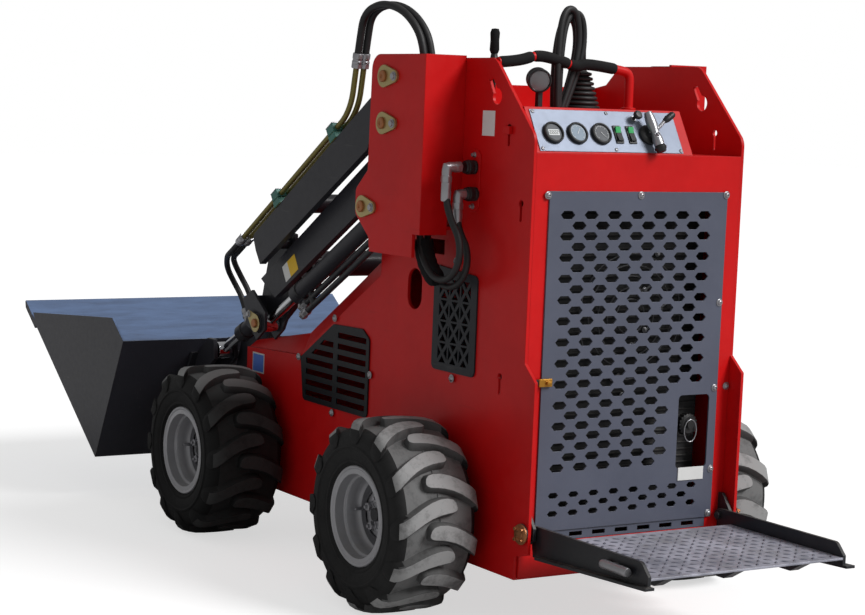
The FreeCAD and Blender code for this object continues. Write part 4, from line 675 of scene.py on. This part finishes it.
def lay_tilt_hoses():
    """Two hoses from the steel lines' front ends down to the left tilt cylinder."""
    for number, (offset, along) in enumerate(zip(PAIR, TILT_PORTS)):
        start = LINE_FRONT + EDGE * SEAT + offset
        end = TILT_FOOT + TILT_AIM * along + TILT_UP * 0.0223
        top = end + TILT_UP * 0.060
        points = [start, start + EDGE * 0.056, start + EDGE * 0.112 + Vector((0.006, -0.016, 0.016)),
                  top + Vector((-0.014, 0.062, 0.092)), top + Vector((0.018, 0.022, 0.048)), top, end]
        lay_hose("tilt_hose_%d" % (number + 1), "tilt_hoses", points, 8, "knuckle")


def lay_control_hoses():
    """Hoses that loop up behind the bar from the console to the tower."""
    routes = (((-150, 122, CONSOLE_TOP), (-154, 130, 1280), (-150, 116, 1388), (-144, 70, 1388),
               (-136, 54, 1280), (-138, 100, CONSOLE_TOP)),
              ((-140, 110, CONSOLE_TOP), (-142, 114, 1270), (-138, 96, 1380), (-132, 44, 1380),
               (-127, 36, 1280), (-128, 84, CONSOLE_TOP)),
              ((-128, 116, CONSOLE_TOP), (-132, 124, 1260), (-126, 102, 1368), (-122, 58, 1368),
               (-120, 52, 1270), (-124, 92, CONSOLE_TOP)))
    for number, route in enumerate(routes):
        lay_hose("control_hose_%d" % (number + 1), None, [at(*place) for place in route], 7.5, "chassis")


def fit_hose_sleeve(first, second):
    """A woven sleeve that holds the coupler hoses together where they go up into the tower."""
    middle = [(one + two) / 2 for one, two in zip(first[-26:-2], second[-26:-2])]
    Shape("hose_sleeve", "foam").tube(middle[::2], [15] + [22, 23] * 5 + [21], 20).done()


def fit_hose_ends():
    """Crimped silver sleeves where the hoses meet the steel lines, the brackets and the cylinders."""
    sleeve = [(0, 0), (11.5, 0), (12.2, 1.5), (12.2, 7), (11, 8), (11, 12), (12.2, 13), (12.2, 24),
              (11.4, 26), (0, 26)]
    lines = Shape("line_sleeves", "bright_zinc", "upper_link")
    fixed = Shape("bracket_fittings", "bright_zinc")
    for offset in PAIR:
        for place, way in ((TOP_END, RISE), (LINE_FRONT, EDGE)):
            foot = place + offset + way * 0.004
            lines.lathe(sleeve, foot, way).drum(12.5, -10, 0, foot, way, 6)
        fixed.lathe(sleeve, ARM_BRACKET + offset, UP)
        fixed.drum(12.5, -10, 0, ARM_BRACKET + offset + UP * 0.010, UP, 6)
    lines.done()
    fixed.done()
    tilt = Shape("tilt_hose_fittings", "bright_zinc", "tilt_barrel")
    for along in TILT_PORTS:
        foot = TILT_FOOT + TILT_AIM * along + TILT_UP * 0.018
        tilt.drum(11, 0, 14, foot, TILT_UP, 6).lathe(sleeve, foot + TILT_UP * 0.012, TILT_UP)
    tilt.done()


# ------------ tyres and wheels

TYRE_RADIUS = 225
TYRE_STEPS = 96
LUG_COUNT = 12
# Half of the carcass, and the raised rings by the bead and round the middle of the sidewall
CARCASS = [(90, 101), (90, 114), (97, 120), (104, 138), (107, 158), (105, 178), (98, 194), (84, 203),
           (0, 206)]
SIDE_BANDS = ((99, 126, 2.4), (107.4, 160, 1.6))
TREAD_SEAM = ((-1.6, 205), (-1.6, 207.6), (1.6, 207.6), (1.6, 205))
# Each station of a lug: place across the tyre, top radius, root radius, place round the tread, half width
LUG_STATIONS = (
    (-36, 223.2, 204, 5, 6), (-33, 223.8, 204.5, 3, 12), (-26, 224.2, 205, 1, 17), (-12, 224.7, 205, 0, 19.5),
    (8, 225, 205, 2, 20.5), (30, 224.7, 205, 8, 20.5), (52, 223.8, 204, 18, 20.5), (72, 222, 203, 30, 21),
    (88, 218, 199, 41, 22), (98, 211, 191, 49, 23), (104, 201, 184, 54, 23), (107.6, 189, 176, 57, 17),
    (108, 174, 168, 59, 6))
# Shares of dust on the lugs' tops, on the tread between them, on their flanks and on the sidewalls; the tops'
# share is partly dust and partly a painted highlight
TOP_DUST_AND_HIGHLIGHT, ROOT_DUST, FLANK_DUST, WALL_DUST = 1.0, 0.5, 0.28, 0.04
# The wheels' middle stands this far from the machine's; what is turned on a wheel is measured from there
WHEEL_MIDDLE = 427
WHEEL_NUT = [(0, 0), (13, 0), (13, 2), (10.5, 3), (10.5, 12), (9, 13.5), (4.5, 13.5), (4.5, 19), (0, 19)]
DISC_STUD = [(0, 0), (4, 0), (4, 20), (3, 22), (0, 22)]
RIM_FLANGE = [(100, 90), (114, 90.5), (116.5, 92.5), (116.5, 95), (114.5, 97), (111, 97), (108, 95),
              (106, 91), (103, 89.5), (99, 89), (96.6, 86), (96.4, 74), (94, 71), (90, 70), (88.4, 67),
              (88, 50), (86, 40), (82, 35.6), (78, 34.6)]
# The disc laid over the rim, which carries its painted shade
WHEEL_DISC = [(78.5, 34.6), (72, 34), (64, 34), (60, 36.5), (56, 37.5), (54.6, 37.5)]


def tread_tyre(node, body, finish):
    """A directional tread: long curved bars from each shoulder to just past the middle."""
    low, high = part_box(node)
    centre = (low + high) / 2
    tyre = Shape(node + "_tread", finish, body)
    mesh = tyre.mesh

    def place(across, radius, turn):
        return centre + Vector((math.sin(turn) * radius, across, math.cos(turn) * radius)) * MM

    def hoops(section, side=1):
        tyre.skin([[mesh.verts.new(place(side * across, radius, 2 * math.pi * step / TYRE_STEPS))
                    for step in range(TYRE_STEPS)] for across, radius in section])

    hoops(CARCASS[:-1] + [(-across, radius) for across, radius in CARCASS[::-1]])
    for side in (-1, 1):
        for across, radius, proud in SIDE_BANDS:
            hoops([(across - 3, radius - 5), (across + proud, radius - 2), (across + proud, radius + 2),
                   (across - 3, radius + 5)], side)
    hoops(TREAD_SEAM)
    tops = set()
    for number in range(2 * LUG_COUNT):
        side = 1 if number % 2 else -1
        first = 2 * math.pi * number / (2 * LUG_COUNT)
        rows = []
        for across, top, root, round_place, half in LUG_STATIONS:
            section = [(-half - 5, root), (-half, top - 3), (-half + 3, top), (half - 3, top),
                       (half, top - 3), (half + 5, root)]
            rows.append([mesh.verts.new(place(side * across, radius,
                                              first - (round_place + shift) / TYRE_RADIUS))
                         for shift, radius in section])
        for before, after in zip(rows, rows[1:]):
            for step in range(len(before) - 1):
                face = mesh.faces.new([before[step], before[step + 1], after[step + 1], after[step]])
                if step == 2:
                    tops.add(face)
        for end in (rows[0], rows[-1]):
            mesh.faces.new(end)
    bmesh.ops.recalc_face_normals(mesh, faces=mesh.faces)
    layer = mesh.loops.layers.uv.new("dust")
    for face in mesh.faces:
        middle = face.calc_center_median() - centre
        outward = Vector((middle.x, 0, middle.z)).normalized()
        reach = math.hypot(middle.x, middle.z)
        between_lugs = face.normal.dot(outward) > 0.8 and reach < 0.21
        # the lugs' tops take the largest share: dust with a painted highlight on it
        share = TOP_DUST_AND_HIGHLIGHT if face in tops else ROOT_DUST if between_lugs else FLANK_DUST
        if reach < 0.205 and abs(middle.y) > 0.075:
            share = WALL_DUST
        for loop in face.loops:
            loop[layer].uv = (share, 0)
    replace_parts(tyre.done(), node)


def fit_wheels():
    """Tyres, and on each rim its flange, its disc in a darker grey that paints the shade on it, five nuts and
    the stud beside them.
    """
    for end, x, tyre_finish in (("front", WHEELBASE / MM, "tyre"), ("rear", 0, "dusty_tyre")):
        for side, sign in (("left", 1), ("right", -1)):
            corner = "%s_%s" % (end, side)
            body = corner + "_wheel"
            tread_tyre(corner + "_tyre", body, tyre_finish)
            centre = at(x, sign * WHEEL_MIDDLE, TYRE_RADIUS)
            outward = LEFT * sign
            bolts = Shape(body + "_bolts", "bright_zinc", body)
            for across, upward in arc(0, 0, 38, 18, 72, 5):
                bolts.lathe(WHEEL_NUT, centre + Vector((across, sign * 33, upward)) * MM, outward, 6)
            bolts.lathe(DISC_STUD, centre + Vector((74, sign * 33, 0)) * MM, outward)
            bolts.done()
            for name, finish, profile in ((corner + "_rim_flange", "rim_paint", RIM_FLANGE),
                                          (body + "_disc", "shaded_disc_paint", WHEEL_DISC)):
                Shape(name, finish, body).lathe(profile, centre, outward, 64).done()


# ------------ body


def fit_grille():
    """The rear frame's bolts, the latch, a blank plate, and the filler cap with its wire loop."""
    heads = Shape("grille_bolts", "bright_zinc")
    for y, z in ((255, 976), (0, 977), (-246, 979), (-242, 732), (-241, 534), (-242, 344), (-241, 240)):
        heads.bolt(at(GRILLE_FACE, y, z), BACK, 6.5, "dome")
    for y in (279, -279):
        heads.bolt(at(REAR_FACE, y, 536), BACK, 7, "dome")
    heads.done()
    latch = Shape("grille_latch", "brass")
    latch.block((-323, 226, 556), (GRILLE_FACE, 262, 574)).block((-329, 232, 561), (-322, 244, 569)).done(1.5)
    Shape("blank_plate", "white_label").block((-317.5, -219, 322), (GRILLE_FACE, -145, 352)).done(0.4)
    cap = Shape("filler_cap", "black_plastic")
    foot = at(-286, -179, 449)
    cap.lathe([(0, 0), (20, 0), (24, 4), (24, 18), (20, 22), (0, 22)], foot, BACK)
    for left, up in arc(0, 0, 24, 0, 20, 18):
        cap.drum(2.4, 3, 18, foot + (LEFT * left + UP * up) * MM, BACK, 8)
    cap.drum(9, 22, 27, foot, BACK).done()
    wire = [at(REAR_FACE - 2 * math.sin(turn / 2), -179 + 17 * math.cos(turn), 436 + 26 * math.sin(turn))
            for turn in (step * math.pi / 8 for step in range(17))]
    Shape("cap_wire", "bright_zinc").tube(wire, 1.3, 8).done()


def fit_couplers():
    """Black quick couplers on the red plate, silver elbows down into the hoses' sleeves, and two bolts."""
    black, silver = Shape("coupler_bodies", "black_plastic"), Shape("coupler_elbows", "bright_zinc")
    body = [(0, 3), (16, 3), (16, 9), (14.8, 10), (14.8, 14), (16.5, 15), (16.5, 24), (14.8, 25), (14.8, 30),
            (13.4, 32), (0, 32)]
    for x, z, reach in ((-91, 1026, 78), (-98, 966, 50)):
        foot = at(x, SIDE_FACE, z)
        black.lathe(body, foot, LEFT)
        elbow = foot + LEFT * reach * MM
        silver.drum(12.6, reach - 36, reach - 22, foot, LEFT, 6)
        silver.tube([elbow - LEFT * 0.030, elbow - LEFT * 0.006, elbow, elbow - UP * 0.006,
                     elbow - UP * 0.034], 11.4, 20)
        silver.drum(13, 20, 34, elbow, -UP, 6)
        silver.lathe([(10.6, 33), (11.6, 36), (11.6, 74), (10.4, 77), (8, 77)], elbow, -UP, 24)
    for z in (1054, 938):
        silver.bolt(at(-90, COVER_FACE, z), LEFT, 5, "socket")
    plate = Shape("coupler_plate", "red_paint")
    plate.prism([(0, 12), (12, 0), (32, 0), (44, 12), (44, 128), (32, 140), (12, 140), (0, 128)],
                at(-112, COVER_FACE, 926), FORWARD, UP, COVER_FACE - SIDE_FACE)
    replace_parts(plate.done(0.8), "auxiliary_couplers")
    black.done(0.4)
    silver.done()


def fit_engine_bay():
    """A dark block shaped as a radiator core behind the rear openings, which paints the shade inside the bay,
    with its fan guard and a few bright fittings.
    """
    # painted shade: a near-black block with fins stands behind the openings to darken the bay
    core = Shape("radiator_painted_shade", "cast").block((-262, -232, 236), (-252, 232, 960))
    for fin in range(46):
        z = 244 + fin * 15.6
        core.block((-266, -228, z), (-262, 228, z + 3))
    core.done()
    guard = Shape("fan_guard", "shaded_disc_paint")
    for ring in range(5):
        hoop = arc(-20, 700, 40 + ring * 26, 0, 9, 41)
        guard.tube([at(-272, left, up) for left, up in hoop], 1.6, 6, ends=False)
    guard.done()
    glints = Shape("bay_fittings", "bright_zinc")
    for y, z in ((-92, 842), (-60, 760), (-104, 716), (-66, 668), (-30, 634), (-120, 600), (20, 560),
                 (-10, 520)):
        glints.bolt(at(-268, y, z), BACK, 5)
        glints.tube([at(-268, y, z), at(-272, y - 16, z + 10)], 2.4, 8)
    glints.done()


def fit_side_bolts():
    """Dome-headed bolts on both sides of the body."""
    heads = Shape("side_bolts", "bright_zinc")
    for x, z in ((-33, 538), (-33, 808), (330, 497), (690, 497), (509, 376), (509, 618)):
        for side in (1, -1):
            heads.bolt(at(x, side * COVER_FACE, z), LEFT * side, 7, "dome")
    heads.done()


def fit_labels():
    """Blank labels on the left side, and the small tab by the upper one."""
    Shape("blank_label", "white_label").block((-159, SIDE_FACE, 1098), (-111, SIDE_FACE + 0.7, 1154)).done()
    for name, finish, margin, y, depth in (("blank_nose_label", "blue_label", 0, 296.1, 0.7),
                                           ("blank_nose_paper", "white_label", 4, 295.5, 0.5)):
        corners = (-margin, -margin, 58 + margin, 46 + margin)
        Shape(name, finish).plate(corners, at(890, y, 428), FORWARD, UP, depth).done()
    Shape("lift_tab", "red_paint").block((-228, SIDE_FACE, 1104), (-206, 305, 1122)).done(1.5)


def fit_arm_labels():
    """A blank label and its paper along the left lower link."""
    foot = at(740, 348.6, 682) - EDGE * 0.130
    for name, finish, low, high in (("blank_arm_label", "yellow_label", 0, 44),
                                    ("blank_arm_paper", "white_label", 44, 74)):
        Shape(name, finish, "lower_link").plate((low, -22, high, 22), foot, EDGE, EDGE_UP, 0.6).done()


def fit_pins():
    """Bolts on the pins' flags, the knuckle's flags, and the turned ends of the pins."""
    flag_bolts = Shape("flag_bolts", "bright_zinc")
    ends = Shape("pin_ends", "copper_pin")
    knuckle_flags = Shape("knuckle_flags", "zinc", "knuckle")
    knuckle_bolts = Shape("knuckle_flag_bolts", "bright_zinc", "knuckle")
    tower_end = [(0, 0), (13, 0), (14, 1), (14, 5), (12, 7), (5, 7), (4, 5), (0, 5)]
    knuckle_end = [(0, 0), (11, 0), (12, 1), (12, 5), (10, 7), (0, 7)]
    flag = arc(0, 0, 24, 100, 26, 10) + arc(34, 20, 12, -20, 30, 4)
    pin_x, pin_z = KNUCKLE_PIN
    for side in (-1, 1):
        outward = LEFT * side
        for x, z in TOWER_PINS:
            ends.lathe(tower_end, at(x, side * 409, z), outward)
            flag_bolts.bolt(at(x - 45, side * 410, z), outward, 8)
        ends.lathe(knuckle_end, at(pin_x, side * 375, pin_z), outward)
        knuckle_flags.prism(flag, at(pin_x, side * 376, pin_z), FORWARD, UP, 2 * side)
        knuckle_bolts.bolt(at(pin_x + 35, side * 376, pin_z + 21), outward, 7)
    for item in (knuckle_flags, knuckle_bolts, flag_bolts, ends):
        item.done()


# ------------ console

PANEL_FOOT, PANEL_TOP = at(REAR_FACE, 0, 1067), at(-255, 0, CONSOLE_TOP)
SLOPE = (PANEL_TOP - PANEL_FOOT).normalized()
OUT = Vector((-SLOPE.z, 0, SLOPE.x))
SLOPE_LENGTH = (PANEL_TOP - PANEL_FOOT).length
# The gauges' and switches' row, as a share of the slope
ROW = 0.42
GAUGES = (232, 167, 102)
SWITCHES = (54, 18)


def on_panel(y, share, proud=2.0):
    """A place on the instrument panel: millimetres to the left, share of its slope, and height off it."""
    return PANEL_FOOT + SLOPE * SLOPE_LENGTH * share + Vector((0, y * MM, 0)) + OUT * proud * MM


def draw_figures(foot):
    """Four figures of a digital dial, of three bars across and two upright."""
    ink = Shape("gauge_figures", "label_ink")
    bars = ((0, 4, 4, 1), (0, 0, 4, 1), (0, -4, 4, 1), (-2, 2, 1, 4), (2, -2, 1, 4))
    for figure in range(4):
        for u, v, width, height in bars:
            place = foot + OUT * 0.0061 + (LEFT * (9.5 - figure * 6.2 + u) + SLOPE * v) * MM
            ink.plate((-width / 2, -height / 2, width / 2, height / 2), place, LEFT, SLOPE, 0.3)
    ink.done()


def draw_scale(marks, foot, aim):
    """Thirty-one ticks, each fifth one longer, and the needle at its aim up the slope."""
    for step in range(31):
        turn = math.radians(225 - 9 * step)
        ray = -LEFT * math.cos(turn) + SLOPE * math.sin(turn)
        inner = 16.5 if step % 5 else 14.5
        place = foot + ray * inner * MM + OUT * 0.0058
        marks.plate((0, -0.35, 19.2 - inner, 0.35), place, ray, OUT.cross(ray), 0.3)
    ray = -LEFT * 0.55 + SLOPE * aim
    needle = [(-3, -0.6), (13, -0.25), (13, 0.25), (-3, 0.6)]
    marks.prism(needle, foot + OUT * 0.0064, ray, OUT.cross(ray), 0.3)


def fit_gauges():
    """A digital dial and two with needles, the first of these with a pale face."""
    bezels, faces = Shape("gauge_bezels", "black_plastic"), Shape("gauge_faces", "dial_face")
    marks, pale = Shape("gauge_marks", "dial_mark"), Shape("gauge_pale_face", "pale_face")
    bezel = [(0, 0), (25.5, 0), (26, 1), (26, 6), (25, 8.5), (22.5, 9.5), (21, 9), (20.6, 5), (0, 5)]
    digital, pale_dial, dark_dial = (on_panel(y, ROW) for y in GAUGES)
    for foot in (digital, pale_dial, dark_dial):
        bezels.lathe(bezel, foot, OUT, 48)
        faces.drum(20.5, 4.6, 5.6, foot, OUT, 40)
    marks.plate((-14, -7, 14, 7), digital + OUT * 0.0057, LEFT, SLOPE, 0.3)
    draw_figures(digital)
    pale.drum(20.3, 5, 5.75, pale_dial, OUT, 40)
    draw_scale(marks, pale_dial, 0.83)
    draw_scale(marks, dark_dial, -0.6)
    for item in (faces, marks, pale):
        item.done()
    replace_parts(bezels.done(), "gauges")


def fit_switches():
    """Panel screws, two rocker switches, the choke, and the throttle on its plate."""
    screws = Shape("panel_screws", "bright_zinc")
    screw = [(0, 0), (4.4, 0), (4.2, 1.4), (3, 2.4), (1.6, 2.6), (1.2, 1.6), (0, 1.6)]
    for y in (-112, 70, 270):
        for share in (0.09, 0.89):
            screws.lathe(screw, on_panel(y, share), OUT)
    choke = on_panel(-2, 0.78)
    screws.drum(8, 0, 3, choke, OUT, 6).done()
    housings, rockers = Shape("switch_housings", "black_plastic"), Shape("switch_rockers", "green_plastic")
    for y in SWITCHES:
        foot = on_panel(y, ROW)
        housings.plate((-10, -22, 10, 22), foot, LEFT, SLOPE, -3)
        housings.plate((-7, -18, 7, 2), foot + OUT * 0.002, LEFT, SLOPE - OUT * 0.12, -4)
        rockers.plate((-7, 0, 7, 15), foot + OUT * 0.001 + SLOPE * 0.003, LEFT, SLOPE + OUT * 0.3, -4)
    # choke: a stem, a collar and a round knob; throttle: a boss with a clamped lever and its knob
    housings.lathe([(0, 2), (4, 2), (4, 14), (9, 15), (10.5, 18), (10.5, 22), (8, 25), (0, 26)], choke, OUT)
    boss = [(0, 0), (24, 0), (24, 6), (20, 10), (12, 12), (12, 22), (0, 23)]
    housings.lathe(boss, on_panel(-30, ROW), OUT, 36)
    base = Shape("throttle_base", "steel")
    base.plate((-34, -38, 38, 40), on_panel(-44, 0.5, 0.6), LEFT, SLOPE, -1.6).done(0.4)
    low, high = on_panel(-38, 0.06, 22), on_panel(-24, 0.8, 30)
    lever = Shape("throttle_lever", "bright_zinc")
    lever.tube(between(low, high, 8), [11, 12, 12, 10, 10, 12, 12, 11, 9], 20)
    lever.tube([low.lerp(high, 0.45), on_panel(-64, 0.62, 38)], 4, 10)
    lever.bolt(on_panel(-30, 0.3, 32), OUT, 5, "socket").done(0.6)
    knob = between(on_panel(-58, 0.58, 36), on_panel(-84, 0.72, 44), 6)
    housings.tube(knob, [5, 7, 8, 8, 8, 8, 6], 16)
    housings.lathe([(0, -12), (10, -10), (14, 0), (10, 10), (0, 12)], low, high - low, 24)
    rockers.done(0.6)
    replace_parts(housings.done(0.5), "switches")


def fit_handles():
    """The fixed bar with its foam, the lever's ribbed boot, and both grips."""
    route = [(-148, 287, 1262), (-148, 230, 1266), (-149, 182, 1282), (-150, 122, 1272), (-150, 74, 1258),
             (-151, 52, 1266), (-152, 2, 1262), (-153, -44, 1256), (-155, -76, 1250), (-156, -76, 1216),
             (-156, -76, CONSOLE_TOP)]
    count = 240
    smooth = bend_through([at(*place) for place in route], count)
    bar = Shape("fixed_bar", "red_paint").tube(smooth[::3], 10.5, 20)
    bar.lathe([(0, 0), (17, 0), (17, 4), (12, 5), (0, 5)], at(*route[-1]), UP)
    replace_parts(bar.done(), "handlebar")
    for number, (low, high) in enumerate(((0.01, 0.218), (0.222, 0.438), (0.442, 0.728))):
        run = smooth[round(low * count):round(high * count) + 1:3]
        radii = [11.4] + [12.8] * (len(run) - 2) + [11.4]
        sleeve = Shape("bar_foam_%d" % (number + 1), "foam").tube(run, radii, 22).done(0.8)
    drive, hand = (-100, 22), (-85, 254)
    profile = [(0, 0), (47, 0), (47, 4), (42, 6)]
    for fold in range(7):
        wide, foot = 44 - fold * 3, 7 + fold * 11
        profile += [(wide - 7, foot), (wide - 1, foot + 2), (wide, foot + 5), (wide - 1, foot + 8)]
    profile += [(15, 84), (12, 88), (0, 89)]
    boot = Shape("ribbed_boot", "rubber").lathe(profile, at(*drive, CONSOLE_TOP), UP, 40)
    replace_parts(boot.done(), "lever_boot")
    grips, stems = Shape("lever_grips", "foam"), Shape("lever_stems", "black_plastic")
    for place, low, high in ((drive, 1266, 1330), (hand, 1282, 1338)):
        grips.lathe([(0, low), (8, low), (11, low + 8), (10, low + 30), (11, high - 10), (8, high - 1),
                     (0, high)], at(*place, 0), UP)
    grips.done()
    stems.drum(6, 1240, 1280, at(*drive, 0), UP, 16).drum(6, CONSOLE_TOP, 1290, at(*hand, 0), UP, 16)
    stems.lathe([(0, 1240), (15, 1240), (17, 1248), (15, 1262), (9, 1272), (7, 1282), (0, 1282)],
                at(*hand, 0), UP, 24)
    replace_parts(stems.done(), "control_levers")


def fit_lamp():
    """A round work lamp on a bracket: a finned pod and its lens."""
    centre, way = at(-170, 190, 1226), Vector((-0.90, 0.40, -0.18)).normalized()
    profile = [(0, -24), (14, -24), (22, -16)]
    for fin in range(4):
        foot = -16 + fin * 6
        profile += [(22, foot), (26, foot + 1), (26, foot + 3), (22, foot + 4)]
    profile += [(25, 9), (27, 10), (27, 15), (24, 16), (23, 12), (0, 12)]
    pod = Shape("lamp_pod", "black_plastic").lathe(profile, centre, way, 40)
    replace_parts(pod.block((-176, 181, CONSOLE_TOP), (-164, 193, 1206)).done(0.4), "work_lamp")
    lens = [(0, 12.2), (23, 12.2), (22, 14.5), (12, 16.5), (0, 17)]
    Shape("lamp_lens", "lens_glass").lathe(lens, centre, way, 40).done()


# ------------ platform and arms

TREAD_PITCH = 0.026
TREAD_BAR = ((-10.5, 0), (-4, -3.2), (4, -3.2), (10.5, 0), (4, 3.2), (-4, 3.2))
TREAD_HEIGHT = UP * 0.0018
# The first bar stands this far in from the deck's edges, and the bars need this much less than its size
TREAD_FIRST, TREAD_SPARE = 0.018, 0.02


def fit_deck_tread():
    """Raised bars of the tread plate, each turned across its neighbours."""
    bars = Shape("deck_tread", "deck_bar", "platform")
    low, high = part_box("platform_deck")
    columns, rows = (int((size - TREAD_SPARE) / TREAD_PITCH) for size in (high - low).xy)
    for column in range(columns):
        for row in range(rows):
            middle = Vector((low.x + TREAD_FIRST + column * TREAD_PITCH,
                             low.y + TREAD_FIRST + row * TREAD_PITCH, high.z))
            turn = math.radians(45 if (column + row) % 2 else -45)
            along = Vector((math.cos(turn), math.sin(turn), 0))
            beside = UP.cross(along)
            outline = [(along * u + beside * v) * MM for u, v in TREAD_BAR]
            rim = [bars.mesh.verts.new(middle + corner) for corner in outline]
            crest = [bars.mesh.verts.new(middle + corner * 0.55 + TREAD_HEIGHT) for corner in outline]
            bars.skin([rim, crest])
            bars.mesh.faces.new(crest)
    bars.done()


def fit_platform_ends():
    """The folding peg on the left rail, and the bolted flanges of the platform's pivots."""
    peg = Shape("rail_peg", "bright_zinc", "platform")
    peg.tube([at(-598 - step * 7.5, 281 + 0.3 * step, 226) for step in range(13)],
             [9] + [10.5, 9.6] * 5 + [10.5, 9], 18)
    peg.block((-640, 268, 218), (-626, 282, 234)).done(0.3)
    discs = Shape("pivot_flanges", "copper_pin")
    for side in (-1, 1):
        foot = at(-333, side * 300.5, 234)
        discs.lathe([(0, 0), (23, 0), (23, 2.4), (21.5, 3.4), (9, 3.4), (8, 5), (0, 5)], foot,
                    LEFT * side, 32)
        for ahead, up in arc(0, 0, 16.5, 45, 90, 4):
            discs.bolt(foot + Vector((ahead, side * 3, up)) * MM, LEFT * side, 4.6, "socket")
    discs.done()


def fit_line_clamps():
    """Two clamps over the steel lines, each with its cover plate and bolt."""
    clamps = Shape("line_clamps", "clamp_green", "upper_link")
    caps = Shape("clamp_bolts", "bright_zinc", "upper_link")
    width = 46.5
    for along in (0.175, 0.500):
        foot = LINK_TOP + EDGE * (along - 0.003) + EDGE_UP * 0.001 + LEFT * 0.013
        for low, high in ((0, 16), (18, 39)):
            clamps.plate((0, low, 32, high), foot, EDGE, EDGE_UP, width)
        caps.plate((-1, 39, 33, 41), foot, EDGE, EDGE_UP, width)
        caps.bolt(foot + EDGE * 0.016 + EDGE_UP * 0.041 - LEFT * 0.0235, EDGE_UP, 6)
    clamps.done(1.2)
    caps.done()


def fit_cylinders():
    """Heads and wipers where the rods go in, and the lift cylinders' pipes with their fittings."""
    (foot_x, foot_z), (eye_x, eye_z) = TOWER_PINS[2], KNUCKLE_PIN
    lift_foot = at(foot_x, 334.5, foot_z)
    lift_aim = (at(eye_x, 334.5, eye_z) - lift_foot).normalized()
    lift_down = Vector((lift_aim.z, 0, -lift_aim.x))
    for name, foot, aim, reach in (("lift", lift_foot, lift_aim, 500), ("tilt", TILT_FOOT, TILT_AIM, 385)):
        heads = Shape(name + "_heads", "black_paint", name + "_barrel")
        wipers = Shape(name + "_wipers", "bright_zinc", name + "_barrel")
        for side in (-1, 1):
            place = mirrored(foot, side)
            heads.lathe([(22, reach - 33), (25, reach - 32), (25, reach - 2), (22, reach + 0.5)], place,
                        aim, 32)
            wipers.lathe([(13.6, reach), (19, reach), (19, reach + 3), (13.6, reach + 3)], place, aim, 32)
        heads.done(0.5)
        wipers.done()
    pipes = Shape("lift_pipes", "black_paint", "lift_barrel")
    ends = Shape("lift_pipe_fittings", "bright_zinc", "lift_barrel")
    nut = [(0, 0), (11, 0), (11, 14), (9, 15), (9, 22), (12, 23), (12, 34), (0, 34)]
    for side in (-1, 1):
        foot = mirrored(lift_foot - LEFT * 0.006, side)
        for low, first, last in ((34, 70, 470), (55, 90, 474)):
            line = [foot + (lift_down * low + lift_aim * along) * MM for along in (first, last)]
            pipes.tube(between(*line, 8), 8)
            ends.lathe(nut, line[-1], lift_aim, 6)
        pipes.tube([foot + lift_down * low * MM + lift_aim * 0.440 for low in (12, 24, 36, 48, 58)], 9)
    pipes.done()
    ends.done()


# ------------ the whole machine

make_materials()
place_camera()
light_room()
lay_floor()
coupler_lines = lay_coupler_hoses()
lay_arm_hoses()
lay_tilt_hoses()
fit_hose_sleeve(*coupler_lines)
dress_nodes()
fit_hose_ends()
fit_wheels()
fit_grille()
fit_couplers()
fit_engine_bay()
fit_side_bolts()
fit_labels()
fit_pins()
fit_arm_labels()
fit_gauges()
fit_switches()
fit_handles()
fit_lamp()
lay_control_hoses()
fit_deck_tread()
fit_platform_ends()
fit_line_clamps()
fit_cylinders()
